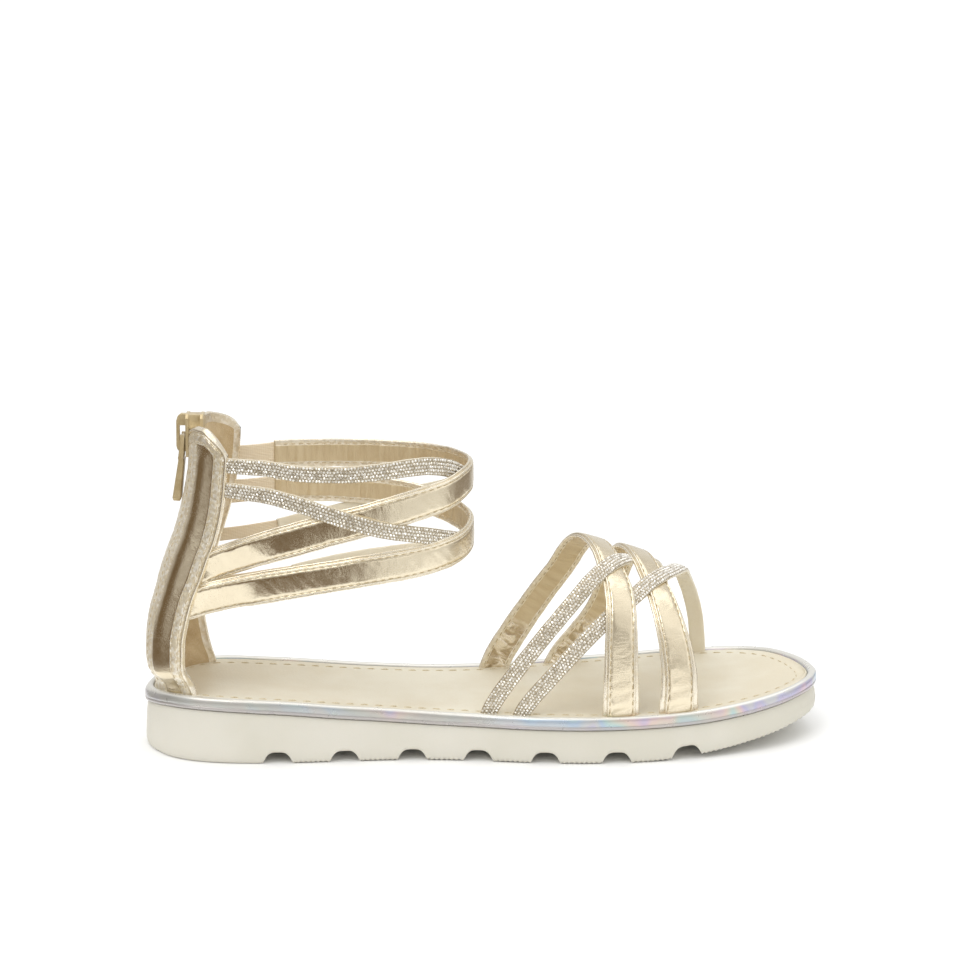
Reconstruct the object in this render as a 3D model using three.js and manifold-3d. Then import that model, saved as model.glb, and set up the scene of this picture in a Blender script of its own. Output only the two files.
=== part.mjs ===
// Gladiator sandal for a right foot, millimetres, +X to the toe, +Y to the medial side, +Z up.
// The sole is drawn from one outline table; the straps are ribbons that follow two surfaces: an arch over the forefoot and a loop round the ankle.
import * as THREE from "three";
import Module from "manifold-3d";

const wasm = await Module();
wasm.setup();

// ---- driving sizes, mm ----
const GAP = 0.3; // clearance between neighbouring pieces
const STATIONS = 36; // sections along each side of the sole outline
const RAND_HEIGHT = 3.9; // the band round the top edge of the sole
const RAND_WIDTH = 2.8;
const SOLE_SET_IN = 0.9; // how far the sole wall stands inside the band
const SPRING_START_X = 50; // the toe spring begins here
const SPRING_HEIGHT = 8.0;
const SPRING_POWER = 1.7;
const CHANNEL_DEPTH = 3.4; // cross channels between the lugs
const CHANNEL_MOUTH = 9.0;
const CHANNEL_ROOF = 5.0;
const CHANNELS_X = [-61.0, -40.7, -20.2, 0.0, 20.5, 42.2, 63.6];
const INSOLE_DROP = 0.5; // footbed edge below the top of the band
const HEEL_DISH = 1.5;
const FORE_DISH = 0.7;
const STRAP_THICK = 1.8; // gold straps, folded and lined
const STONE_THICK = 1.9; // rhinestone straps, domed
const STONE_WIDTH = 5.0;
const LEG_INSET = 4.15; // middle of a strap leg, in from the outline
const LEG_DEPTH = 5.5; // how far legs and quarters run down before their feet are cut level beside the footbed
const ARCH_POWER = 2.4;
const QUARTER_THICK = 2.4;
const ZIP_HALF_GAP = 3.6; // half the opening between the quarters at centre back

// ---- tables ----
// Outline of the band seen from above: x, near (lateral) y, far (medial) y.
const OUTLINE = [
  { x: -104.0, near: -1.6, far: -1.6 },
  { x: -102.6, near: -8.6, far: 5.4 },
  { x: -99.4, near: -14.6, far: 11.6 },
  { x: -94.5, near: -20.2, far: 17.0 },
  { x: -88.0, near: -23.9, far: 20.9 },
  { x: -80.0, near: -25.9, far: 22.6 },
  { x: -70.0, near: -26.5, far: 23.1 },
  { x: -57.0, near: -25.9, far: 24.1 },
  { x: -44.0, near: -24.5, far: 25.8 },
  { x: -30.0, near: -22.8, far: 28.0 },
  { x: -16.0, near: -22.0, far: 30.8 },
  { x: -3.0, near: -22.4, far: 33.6 },
  { x: 10.0, near: -23.7, far: 37.2 },
  { x: 22.0, near: -24.7, far: 41.4 },
  { x: 34.0, near: -24.7, far: 45.4 },
  { x: 45.0, near: -23.6, far: 48.6 },
  { x: 56.0, near: -21.7, far: 51.6 },
  { x: 66.0, near: -19.1, far: 53.0 },
  { x: 76.0, near: -15.6, far: 52.4 },
  { x: 85.0, near: -11.4, far: 49.6 },
  { x: 92.5, near: -6.8, far: 44.4 },
  { x: 98.0, near: -1.6, far: 37.0 },
  { x: 102.0, near: 3.4, far: 28.6 },
  { x: 104.3, near: 8.2, far: 20.8 },
  { x: 105.3, near: 14.0, far: 14.0 },
];
// Height of the top of the band above the floor.
const TOP_LINE = [
  { x: -104, z: 17.7 },
  { x: -100, z: 19.2 },
  { x: -93, z: 20.4 },
  { x: -85, z: 20.6 },
  { x: -63, z: 19.7 },
  { x: -37, z: 17.3 },
  { x: -10, z: 15.3 },
  { x: 15, z: 14.7 },
  { x: 40, z: 14.6 },
  { x: 56, z: 14.8 },
  { x: 68, z: 15.2 },
  { x: 82, z: 16.4 },
  { x: 92, z: 17.7 },
  { x: 100, z: 18.9 },
  { x: 106, z: 19.9 },
];
// Crest of the arch the forefoot straps follow (middle of the strap).
const CREST = [
  { x: -10, z: 66.5 },
  { x: 15, z: 65.0 },
  { x: 31, z: 62.2 },
  { x: 47, z: 56.2 },
  { x: 61, z: 50.6 },
  { x: 80, z: 43.0 },
];
// Forefoot straps: angle on the arch (0 lateral foot, 180 medial foot), x of the middle, lift off the arch (plus is outside).
const FORE_STRAPS = {
  gold_rear: {
    width: 9.6,
    flare: 1.6,
    stone: false,
    rows: [
      { a: 0, x: 43.4, lift: 0 },
      { a: 20, x: 43.4, lift: 0.2 },
      { a: 42, x: 43.2, lift: 0.95 },
      { a: 56, x: 42.3, lift: 0.6 },
      { a: 69, x: 41.1, lift: -0.9 },
      { a: 83, x: 39.0, lift: -0.4 },
      { a: 97, x: 35.5, lift: 0 },
      { a: 116, x: 30.8, lift: 0 },
      { a: 140, x: 25.4, lift: 0 },
      { a: 156, x: 18.2, lift: 0 },
      { a: 168, x: 11.4, lift: 0 },
      { a: 180, x: 3.6, lift: 0 },
    ],
  },
  gold_front: {
    width: 9.6,
    flare: 2.8,
    stone: false,
    rows: [
      { a: 0, x: 61.1, lift: 0 },
      { a: 10, x: 61.4, lift: 0 },
      { a: 24, x: 60.6, lift: 0 },
      { a: 44, x: 58.1, lift: 0 },
      { a: 60, x: 56.0, lift: -0.5 },
      { a: 71, x: 54.4, lift: -0.95 },
      { a: 85, x: 51.2, lift: 0.5 },
      { a: 96, x: 48.4, lift: 1.0 },
      { a: 112, x: 45.6, lift: 0.6 },
      { a: 134, x: 43.0, lift: 0 },
      { a: 150, x: 40.6, lift: 0 },
      { a: 163, x: 37.2, lift: 0 },
      { a: 173, x: 31.0, lift: 0 },
      { a: 180, x: 24.4, lift: 0 },
    ],
  },
  stone_rear: {
    width: STONE_WIDTH,
    stone: true,
    rows: [
      { a: 0, x: 3.0, lift: 0 },
      { a: 10, x: 10.3, lift: 0 },
      { a: 24, x: 19.4, lift: 0 },
      { a: 41, x: 28.6, lift: 0.3 },
      { a: 60, x: 36.4, lift: 0.9 },
      { a: 70, x: 40.1, lift: 1.0 },
      { a: 80, x: 43.7, lift: 0.4 },
      { a: 94, x: 48.6, lift: -0.95 },
      { a: 106, x: 52.0, lift: -0.6 },
      { a: 125, x: 55.2, lift: 0 },
      { a: 152, x: 58.0, lift: 0 },
      { a: 168, x: 60.3, lift: 0 },
      { a: 180, x: 61.6, lift: 0 },
    ],
  },
  stone_front: {
    width: STONE_WIDTH,
    stone: true,
    rows: [
      { a: 0, x: 12.9, lift: 0 },
      { a: 9, x: 21.0, lift: 0 },
      { a: 21, x: 30.0, lift: -0.3 },
      { a: 33, x: 37.4, lift: -0.85 },
      { a: 43, x: 42.8, lift: -0.95 },
      { a: 54, x: 47.9, lift: -0.4 },
      { a: 65, x: 52.0, lift: 0.8 },
      { a: 75, x: 55.8, lift: 1.0 },
      { a: 88, x: 59.8, lift: 0.4 },
      { a: 98, x: 62.0, lift: 0 },
      { a: 126, x: 64.2, lift: 0 },
      { a: 141, x: 66.2, lift: 0 },
      { a: 157, x: 68.2, lift: 0 },
      { a: 170, x: 69.2, lift: 0 },
      { a: 180, x: 69.6, lift: 0 },
    ],
  },
};
// Loop round the ankle seen from above (middle of the straps), from the lateral quarter round the front to the medial one.
const LOOP = [
  { x: -90.0, y: -19.0 },
  { x: -83.0, y: -19.6 },
  { x: -76.0, y: -20.4 },
  { x: -66.0, y: -23.4 },
  { x: -54.0, y: -25.8 },
  { x: -40.0, y: -26.8 },
  { x: -27.0, y: -25.4 },
  { x: -15.0, y: -20.6 },
  { x: -7.2, y: -12.8 },
  { x: -3.6, y: -2.0 },
  { x: -4.6, y: 9.0 },
  { x: -10.2, y: 18.5 },
  { x: -20.0, y: 25.0 },
  { x: -32.0, y: 28.0 },
  { x: -44.0, y: 28.2 },
  { x: -56.0, y: 26.6 },
  { x: -67.0, y: 23.6 },
  { x: -76.0, y: 20.4 },
  { x: -83.0, y: 19.0 },
  { x: -90.0, y: 18.0 },
];
// Ankle straps: s is the length along the loop, z the middle of the strap, w its width, lift the offset from the loop (plus is outside).
const ANKLE_STRAPS = {
  gold_high: {
    stone: false,
    rows: [
      { s: 6, z: 59.4, w: 10.4, lift: 0 },
      { s: 26, z: 67.2, w: 10.2, lift: 0 },
      { s: 37, z: 70.8, w: 10.2, lift: -0.2 },
      { s: 47, z: 73.8, w: 10.2, lift: -0.85 },
      { s: 57, z: 76.3, w: 10.0, lift: -0.95 },
      { s: 66, z: 78.8, w: 10.0, lift: -0.2 },
      { s: 74, z: 80.8, w: 10.0, lift: 0.4 },
      { s: 84, z: 82.6, w: 10.0, lift: 0.9 },
      { s: 94, z: 84.6, w: 9.6, lift: 0.95 },
      { s: 104, z: 85.2, w: 9.2, lift: 0.6 },
      { s: 118, z: 85.0, w: 9.0, lift: 0 },
      { s: 138, z: 85.0, w: 9.0, lift: 0 },
      { s: 158, z: 85.2, w: 9.0, lift: 0 },
      { s: 179.6, z: 85.5, w: 9.0, lift: 0 },
    ],
  },
  gold_low: {
    stone: false,
    rows: [
      { s: 3, z: 49.0, w: 10.4, lift: 0 },
      { s: 21, z: 53.8, w: 10.2, lift: 0 },
      { s: 33, z: 56.6, w: 10.0, lift: 0 },
      { s: 45, z: 59.0, w: 9.8, lift: 0 },
      { s: 58, z: 61.2, w: 9.8, lift: 0 },
      { s: 70, z: 62.6, w: 9.8, lift: 0 },
      { s: 82, z: 64.0, w: 9.6, lift: 0.5 },
      { s: 92, z: 65.4, w: 9.6, lift: 0.95 },
      { s: 103, z: 67.2, w: 9.4, lift: 0.9 },
      { s: 114, z: 68.8, w: 9.2, lift: 0.0 },
      { s: 126, z: 70.8, w: 9.0, lift: -0.9 },
      { s: 140, z: 72.6, w: 9.0, lift: -0.95 },
      { s: 154, z: 73.6, w: 9.0, lift: -0.5 },
      { s: 166, z: 74.2, w: 9.0, lift: 0 },
      { s: 179.6, z: 74.6, w: 9.0, lift: 0 },
    ],
  },
  stone_high: {
    stone: true,
    rows: [
      { s: 12.4, z: 91.8, w: 4.6, lift: 0 },
      { s: 26, z: 91.9, w: 4.8, lift: 0 },
      { s: 38, z: 90.6, w: 4.9, lift: 0 },
      { s: 50, z: 90.6, w: 5.0, lift: 0 },
      { s: 62, z: 91.4, w: 5.2, lift: 0 },
      { s: 74, z: 92.2, w: 5.4, lift: -0.3 },
      { s: 84, z: 90.6, w: 5.4, lift: -0.9 },
      { s: 94, z: 87.0, w: 5.2, lift: -0.95 },
      { s: 104, z: 83.2, w: 5.0, lift: -0.7 },
      { s: 116, z: 78.8, w: 5.0, lift: 0.3 },
      { s: 128, z: 74.6, w: 5.0, lift: 0.95 },
      { s: 142, z: 70.6, w: 5.0, lift: 0.95 },
      { s: 156, z: 66.8, w: 5.0, lift: 0.5 },
      { s: 166, z: 64.6, w: 5.0, lift: 0.1 },
      { s: 178.6, z: 62.0, w: 5.0, lift: 0 },
    ],
  },
  stone_low: {
    stone: true,
    rows: [
      { s: 12.4, z: 84.4, w: 4.6, lift: 0 },
      { s: 26, z: 83.6, w: 4.8, lift: 0 },
      { s: 36, z: 81.6, w: 4.9, lift: 0.2 },
      { s: 46, z: 78.6, w: 5.0, lift: 0.85 },
      { s: 56, z: 75.4, w: 5.0, lift: 0.95 },
      { s: 65, z: 73.0, w: 5.0, lift: 0.6 },
      { s: 74, z: 71.2, w: 5.0, lift: 0.1 },
      { s: 84, z: 68.6, w: 5.0, lift: -0.7 },
      { s: 94, z: 65.8, w: 5.0, lift: -0.95 },
      { s: 104, z: 62.8, w: 5.0, lift: -0.95 },
      { s: 114, z: 59.4, w: 5.0, lift: -0.4 },
      { s: 126, z: 56.0, w: 5.0, lift: 0 },
      { s: 142, z: 52.8, w: 5.0, lift: 0 },
      { s: 158, z: 50.0, w: 5.0, lift: 0 },
      { s: 174.0, z: 46.8, w: 5.0, lift: 0 },
    ],
  },
};
// Elastics between the medial strap ends and the medial quarter: s where each starts, then the heights at both ends and the width.
const ELASTICS = {
  elastic_gold_high: { from: 179.9, z0: 85.5, z1: 85.2, w: 7.6 },
  elastic_gold_low: { from: 179.9, z0: 74.6, z1: 74.4, w: 7.6 },
  elastic_stone_high: { from: 178.9, z0: 62.0, z1: 60.4, w: 4.2 },
  elastic_stone_low: { from: 174.3, z0: 46.8, z1: 44.6, w: 4.2 },
};
// Heel shell by height: x of the centre back and of the front edges, half widths.
const SHELL = [
  { z: 10, back: -99.9, frontLat: -85.4, frontMed: -83.0, lat: 20.0, med: 18.2 },
  { z: 18, back: -100.2, frontLat: -86.3, frontMed: -84.0, lat: 20.6, med: 18.4 },
  { z: 21, back: -101.2, frontLat: -86.9, frontMed: -84.5, lat: 21.0, med: 18.6 },
  { z: 24, back: -102.5, frontLat: -88.0, frontMed: -85.2, lat: 21.4, med: 18.8 },
  { z: 30, back: -103.3, frontLat: -89.6, frontMed: -86.4, lat: 21.4, med: 19.0 },
  { z: 36, back: -103.0, frontLat: -89.5, frontMed: -87.2, lat: 21.2, med: 19.1 },
  { z: 43, back: -102.0, frontLat: -88.3, frontMed: -86.8, lat: 21.0, med: 19.2 },
  { z: 50, back: -100.0, frontLat: -86.4, frontMed: -85.4, lat: 20.8, med: 19.4 },
  { z: 57, back: -98.1, frontLat: -83.6, frontMed: -83.0, lat: 20.6, med: 19.6 },
  { z: 63, back: -96.0, frontLat: -81.5, frontMed: -81.0, lat: 20.5, med: 19.7 },
  { z: 69, back: -93.7, frontLat: -79.2, frontMed: -79.0, lat: 20.4, med: 19.8 },
  { z: 76, back: -91.7, frontLat: -77.4, frontMed: -77.2, lat: 20.3, med: 19.9 },
  { z: 82, back: -90.3, frontLat: -76.4, frontMed: -76.2, lat: 20.2, med: 20.0 },
  { z: 89, back: -89.1, frontLat: -75.7, frontMed: -75.4, lat: 20.1, med: 20.0 },
  { z: 95, back: -88.7, frontLat: -75.2, frontMed: -75.0, lat: 19.9, med: 19.9 },
  { z: 103, back: -88.6, frontLat: -75.0, frontMed: -75.0, lat: 19.6, med: 19.7 },
];
// Top edge of each quarter from centre back (u 0) to the front edge (u 1).
const QUARTER_TOP = [
  { u: 0.0, lat: 99.0, med: 100.4 },
  { u: 0.12, lat: 100.2, med: 101.2 },
  { u: 0.36, lat: 102.0, med: 101.5 },
  { u: 0.54, lat: 102.1, med: 100.7 },
  { u: 0.72, lat: 100.3, med: 99.6 },
  { u: 0.88, lat: 97.6, med: 98.0 },
  { u: 1.0, lat: 94.8, med: 95.6 },
];
// Zip slider, in its own frame: w out from the zip, s up along it, y across.
const SLIDER = {
  z: 97.8,
  plateHalf: 3.15,
  plateLow: -7.2,
  plateTop: 6.2,
  plateThick: 1.0,
  bailHalf: 1.0,
  bailLow: -6.0,
  bailTop: 6.0,
  slotLow: -2.0,
  slotTop: 2.4,
  bailWall: 1.0,
  bailRise: 3.0,
};
const PULL = { barS: -0.9, barW: 2.45, barR: 0.6, reach: 6.6, length: 20.3, half: 2.9, armIn: 1.4, thick: 1.7, lean: 7 };
const CHAIN = { half: 2.4, out: 0.6, in: 1.4, tapeHalf: 2.9, tapeThick: 0.7, recess: 0.5 };

// ---- small functions ----
const rad = Math.PI / 180;
const mix = (a, b, t) => a + (b - a) * t;

// A smooth function through the rows of a table (monotone cubic).
function smooth(rows, xk, yk) {
  const x = rows.map((r) => r[xk]),
    y = rows.map((r) => r[yk]),
    n = x.length;
  const d = [],
    m = new Array(n).fill(0);
  for (let i = 0; i < n - 1; i++) d.push((y[i + 1] - y[i]) / (x[i + 1] - x[i]));
  for (let i = 1; i < n - 1; i++)
    m[i] = d[i - 1] * d[i] <= 0 ? 0 : (2 * d[i - 1] * d[i]) / (d[i - 1] + d[i]);
  m[0] = d[0];
  m[n - 1] = d[n - 2];
  return (v) => {
    if (v <= x[0]) return y[0] + m[0] * (v - x[0]);
    if (v >= x[n - 1]) return y[n - 1] + m[n - 1] * (v - x[n - 1]);
    let i = 0;
    while (v > x[i + 1]) i++;
    const h = x[i + 1] - x[i],
      t = (v - x[i]) / h,
      t2 = t * t,
      t3 = t2 * t;
    return (
      (2 * t3 - 3 * t2 + 1) * y[i] + (t3 - 2 * t2 + t) * h * m[i] + (-2 * t3 + 3 * t2) * y[i + 1] + (t3 - t2) * h * m[i + 1]
    );
  };
}

// A closed solid from points and triangles, turned to face out.
function solid(points, tris) {
  const build = (flip) =>
    new wasm.Manifold(
      new wasm.Mesh({
        numProp: 3,
        vertProperties: new Float32Array(points.flat()),
        triVerts: new Uint32Array(tris.flatMap(([a, b, c]) => (flip ? [a, c, b] : [a, b, c]))),
      }),
    );
  const first = build(false);
  return first.volume() < 0 ? build(true) : first;
}

// Skin between equal rings; open runs get flat fan caps, closed runs join end to end.
function loft(rings, closed = false) {
  const n = rings[0].length,
    m = rings.length,
    pts = rings.flat(),
    tris = [];
  for (let k = 0; k < (closed ? m : m - 1); k++)
    for (let i = 0; i < n; i++) {
      const a = k * n + i,
        b = k * n + ((i + 1) % n),
        c = ((k + 1) % m) * n + i,
        d = ((k + 1) % m) * n + ((i + 1) % n);
      tris.push([a, b, d], [a, d, c]);
    }
  if (!closed)
    for (let i = 1; i < n - 1; i++) {
      tris.push([0, i + 1, i]);
      const o = (m - 1) * n;
      tris.push([o, o + i, o + i + 1]);
    }
  return solid(pts, tris);
}

// A box given by its eight corners' frame: origin, three axes and ranges.
function box(frame, w0, w1, s0, s1, y0, y1) {
  const p = (w, s, y) => frame(w, s, y);
  return loft([
    [p(w0, s0, y0), p(w1, s0, y0), p(w1, s0, y1), p(w0, s0, y1)],
    [p(w0, s1, y0), p(w1, s1, y0), p(w1, s1, y1), p(w0, s1, y1)],
  ]);
}

// ---- sole outline ----
const N = STATIONS * 2;
const nearFar = [
  ...OUTLINE.map((r) => new THREE.Vector3(r.x, r.near, 0)),
  ...OUTLINE.slice(1, -1)
    .reverse()
    .map((r) => new THREE.Vector3(r.x, r.far, 0)),
];
const outlineCurve = new THREE.CatmullRomCurve3(nearFar, true, "centripetal");
const outlinePoints = Array.from({ length: N }, (_, i) => outlineCurve.getPoint(i / N));
const outlineNormals = outlinePoints.map((_, i) => {
  const a = outlinePoints[(i + N - 1) % N],
    b = outlinePoints[(i + 1) % N];
  const t = b.clone().sub(a).normalize();
  return new THREE.Vector3(-t.y, t.x, 0); // points inwards
});
const topZ = smooth(TOP_LINE, "x", "z");
const springZ = (x) => (x <= SPRING_START_X ? 0 : SPRING_HEIGHT * Math.pow((x - SPRING_START_X) / (105.3 - SPRING_START_X), SPRING_POWER));
const inset = (i, d) => outlinePoints[i].clone().addScaledVector(outlineNormals[i], d);
const loop = (d, zOf) =>
  Array.from({ length: N }, (_, i) => {
    const p = inset(i, d);
    return [p.x, p.y, zOf(p.x)];
  });
const nearY = smooth(OUTLINE, "x", "near"),
  farY = smooth(OUTLINE, "x", "far");

// Stack of outline loops closed with flat-ish caps that pair the near and far sides; the last cap can carry a dished grid.
function stack(loops, across = 0, dish = null) {
  const pts = loops.flat(),
    tris = [],
    m = loops.length;
  for (let k = 0; k < m - 1; k++)
    for (let i = 0; i < N; i++) {
      const a = k * N + i,
        b = k * N + ((i + 1) % N),
        c = a + N,
        d = b + N;
      tris.push([a, b, d], [a, d, c]);
    }
  const cap = (base, up, cross) => {
    const put = (a, b, c) => tris.push(up ? [a, b, c] : [a, c, b]);
    const rows = [];
    for (let i = 0; i <= STATIONS; i++) {
      const near = base + i,
        far = base + ((N - i) % N);
      if (i === 0 || i === STATIONS) {
        rows.push([near]);
        continue;
      }
      const row = [near];
      for (let j = 1; j <= cross; j++) {
        const t = j / (cross + 1),
          p = pts[near],
          q = pts[far];
        const x = mix(p[0], q[0], t),
          y = mix(p[1], q[1], t);
        pts.push([x, y, mix(p[2], q[2], t) + (dish ? dish(x, t, i) : 0)]);
        row.push(pts.length - 1);
      }
      row.push(far);
      rows.push(row);
    }
    for (let i = 0; i < STATIONS; i++) {
      const a = rows[i],
        b = rows[i + 1];
      if (a.length === 1) for (let j = 0; j < b.length - 1; j++) put(a[0], b[j], b[j + 1]);
      else if (b.length === 1) for (let j = 0; j < a.length - 1; j++) put(a[j], b[0], a[j + 1]);
      else
        for (let j = 0; j < a.length - 1; j++) {
          put(a[j], b[j], b[j + 1]);
          put(a[j], b[j + 1], a[j + 1]);
        }
    }
  };
  cap(0, false, 0);
  cap((m - 1) * N, true, across);
  return solid(pts, tris);
}

// ---- outsole ----
let outsole = stack([
  loop(1.0, (x) => springZ(x)),
  loop(0.2, (x) => springZ(x) + 0.8),
  loop(0.15, (x) => springZ(x) + 3.2),
  loop(SOLE_SET_IN, (x) => topZ(x) - RAND_HEIGHT - GAP),
]);
for (const cx of CHANNELS_X) {
  const half = CHANNEL_MOUTH / 2,
    roof = CHANNEL_ROOF / 2,
    base = springZ(cx) + (cx > SPRING_START_X ? 0.2 : 0);
  const section = [
    [cx - half - 0.5, -3],
    [cx + half + 0.5, -3],
    [cx + half, base + 0.0],
    [cx + half - 0.9, base + CHANNEL_DEPTH * 0.55],
    [cx + roof - 0.2, base + CHANNEL_DEPTH * 0.93],
    [cx + roof - 1.2, base + CHANNEL_DEPTH],
    [cx - roof + 1.2, base + CHANNEL_DEPTH],
    [cx - roof + 0.2, base + CHANNEL_DEPTH * 0.93],
    [cx - half + 0.9, base + CHANNEL_DEPTH * 0.55],
    [cx - half, base + 0.0],
  ];
  outsole = outsole.subtract(
    loft([section.map(([x, z]) => [x, -40, z]), section.map(([x, z]) => [x, 60, z])]),
  );
}

// ---- rand ----
const RAND_SECTION = [
  { d: 0.55, h: -RAND_HEIGHT },
  { d: 0.0, h: -3.3 },
  { d: 0.0, h: -1.3 },
  { d: 0.35, h: -0.45 },
  { d: 1.1, h: 0.0 },
  { d: 2.2, h: -0.1 },
  { d: RAND_WIDTH, h: -0.7 },
  { d: RAND_WIDTH, h: -RAND_HEIGHT },
];
const rand = loft(
  Array.from({ length: N }, (_, i) =>
    RAND_SECTION.map(({ d, h }) => {
      const p = inset(i, d);
      return [p.x, p.y, topZ(p.x) + h];
    }),
  ),
  true,
);

// ---- insole ----
const dishDepth = smooth(
  [
    { x: -104, d: HEEL_DISH },
    { x: -75, d: HEEL_DISH },
    { x: -35, d: 0.6 },
    { x: 10, d: 0.4 },
    { x: 50, d: FORE_DISH },
    { x: 106, d: FORE_DISH },
  ],
  "x",
  "d",
);
const INSOLE_EDGE = RAND_WIDTH + GAP;
let insole = stack(
  [
    loop(INSOLE_EDGE, (x) => topZ(x) - RAND_HEIGHT),
    loop(INSOLE_EDGE, (x) => topZ(x) - INSOLE_DROP - 0.6),
    loop(INSOLE_EDGE + 0.7, (x) => topZ(x) - INSOLE_DROP),
  ],
  7,
  (x, t) => -dishDepth(x) * (1 - Math.pow(Math.abs(2 * t - 1), 2.2)),
);

// ---- ribbons ----
// Cross-section of a strap: b across the width, n through the thickness.
function ribSection(width, thick, stone, grow = 0) {
  const h = width / 2 + grow,
    t = thick / 2 + grow;
  return stone
    ? [
        [-h, -t],
        [h, -t],
        [h, 0.15 * t],
        [0.72 * h, 0.78 * t],
        [0.3 * h, t],
        [-0.3 * h, t],
        [-0.72 * h, 0.78 * t],
        [-h, 0.15 * t],
      ]
    : [
        [-h + 0.45, -t],
        [h - 0.45, -t],
        [h, -0.35 * t],
        [h, 0.35 * t],
        [h - 0.5, t],
        [-h + 0.5, t],
        [-h, 0.35 * t],
        [-h, -0.35 * t],
      ];
}

// Rings of a strap from frames {p, n, t, w, lift}.
function ribbon(frames, thick, stone, grow = 0) {
  return loft(
    frames.map((f) => {
      const b = new THREE.Vector3().crossVectors(f.t, f.n).normalize();
      const n = new THREE.Vector3().crossVectors(b, f.t).normalize();
      return ribSection(f.w, thick, stone, grow).map(([u, v]) => {
        const q = f.p.clone().addScaledVector(b, u).addScaledVector(n, v + f.lift);
        return [q.x, q.y, q.z];
      });
    }),
  );
}

// ---- forefoot arch ----
const crest = smooth(CREST, "x", "z");
const archBase = (x) => topZ(x) - 0.4;
function archPoint(a, x) {
  const lo = nearY(x) + LEG_INSET,
    hi = farY(x) - LEG_INSET,
    c = (lo + hi) / 2,
    w = (hi - lo) / 2,
    cs = Math.cos(a * rad),
    sn = Math.sin(a * rad),
    e = 2 / ARCH_POWER;
  return new THREE.Vector3(
    x,
    c - w * Math.sign(cs) * Math.pow(Math.abs(cs), e),
    archBase(x) + (crest(x) - archBase(x)) * Math.pow(Math.max(sn, 0), e),
  );
}
function archNormal(p) {
  const g = (q) => {
    const lo = nearY(q.x) + LEG_INSET,
      hi = farY(q.x) - LEG_INSET,
      c = (lo + hi) / 2,
      w = (hi - lo) / 2;
    return (
      Math.pow(Math.abs((q.y - c) / w), ARCH_POWER) +
      Math.pow(Math.max(q.z - archBase(q.x), 0) / (crest(q.x) - archBase(q.x)), ARCH_POWER)
    );
  };
  const h = 0.05,
    d = (v) => g(p.clone().add(v)) - g(p.clone().sub(v));
  return new THREE.Vector3(d(new THREE.Vector3(h, 0, 0)), d(new THREE.Vector3(0, h, 0)), d(new THREE.Vector3(0, 0, h))).normalize();
}
function foreFrames(spec, count) {
  const xs = smooth(spec.rows, "a", "x"),
    ls = smooth(spec.rows, "a", "lift"),
    frames = [];
  for (let i = 0; i <= count; i++) {
    // stations closer together near the feet, where the arch turns upright
    const u = i / count,
      a = 180 * mix(u, u - Math.sin(4 * Math.PI * u) / (4 * Math.PI), 0.0);
    // the lateral foot of a gold strap widens
    const spread = (spec.flare ?? 0) * (1 - Math.min(a / 55, 1)) ** 1.5;
    frames.push({ a, p: archPoint(a, xs(a)), w: spec.width + spread, lift: ls(a) });
  }
  frames.forEach((f, i) => {
    const a = frames[Math.max(i - 1, 0)].p,
      b = frames[Math.min(i + 1, count)].p;
    f.t = b.clone().sub(a).normalize();
    f.n = archNormal(f.p);
  });
  // each foot runs straight on down beside the footbed
  const foot = (f, dir) => {
    const t = f.t.clone().multiplyScalar(dir),
      run = Math.max(-1, Math.min(1, t.x / Math.max(-t.z, 0.3))) * LEG_DEPTH;
    const p = new THREE.Vector3(f.p.x + run, 0, f.p.z - LEG_DEPTH);
    p.y = f.p.y < 10 ? nearY(p.x) + LEG_INSET : farY(p.x) - LEG_INSET;
    return { ...f, p, lift: 0 };
  };
  frames.unshift(foot(frames[0], -1));
  frames.push(foot(frames[frames.length - 1], 1));
  return frames;
}
const strapThick = (stone) => (stone ? STONE_THICK : STRAP_THICK);
let vampStraps = null;
for (const spec of Object.values(FORE_STRAPS)) {
  const frames = foreFrames(spec, 24);
  const strap = ribbon(frames, strapThick(spec.stone), spec.stone);
  vampStraps = vampStraps ? vampStraps.add(strap) : strap;
  // pockets in the footbed edge for both feet
  for (const foot of [frames.slice(0, 4), frames.slice(-4)])
    insole = insole.subtract(ribbon(foot, strapThick(spec.stone), false, GAP));
}
// everything that goes down beside the footbed ends level, just above the outsole
const footCut = stack([loop(-6, () => -5), loop(-6, (x) => topZ(x) - RAND_HEIGHT)]);
vampStraps = vampStraps.subtract(footCut);

// ---- ankle loop ----
const loopCurve = new THREE.CatmullRomCurve3(
  LOOP.map((r) => new THREE.Vector3(r.x, r.y, 0)),
  false,
  "centripetal",
);
loopCurve.arcLengthDivisions = 800;
const loopLength = loopCurve.getLength();
const loopAt = (s) => loopCurve.getPointAt(Math.min(Math.max(s / loopLength, 0), 1));
const loopTangent = (s) => loopCurve.getTangentAt(Math.min(Math.max(s / loopLength, 0), 1));
function ankleFrame(s, z, slope, w, lift) {
  const p = loopAt(s),
    d = loopTangent(s);
  return {
    p: new THREE.Vector3(p.x, p.y, z),
    t: new THREE.Vector3(d.x, d.y, slope).normalize(),
    n: new THREE.Vector3(d.y, -d.x, 0).normalize(),
    w,
    lift,
  };
}
function ankleFrames(rows, count) {
  const z = smooth(rows, "s", "z"),
    w = smooth(rows, "s", "w"),
    l = smooth(rows, "s", "lift"),
    s0 = rows[0].s,
    s1 = rows[rows.length - 1].s;
  return Array.from({ length: count + 1 }, (_, i) => {
    const s = mix(s0, s1, i / count),
      lo = Math.max(s - 1, s0),
      hi = Math.min(s + 1, s1);
    return ankleFrame(s, z(s), (z(hi) - z(lo)) / (hi - lo), w(s), l(s));
  });
}
let ankleStraps = null;
for (const spec of Object.values(ANKLE_STRAPS)) {
  const strap = ribbon(ankleFrames(spec.rows, 32), strapThick(spec.stone), spec.stone);
  ankleStraps = ankleStraps ? ankleStraps.add(strap) : strap;
}

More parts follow.
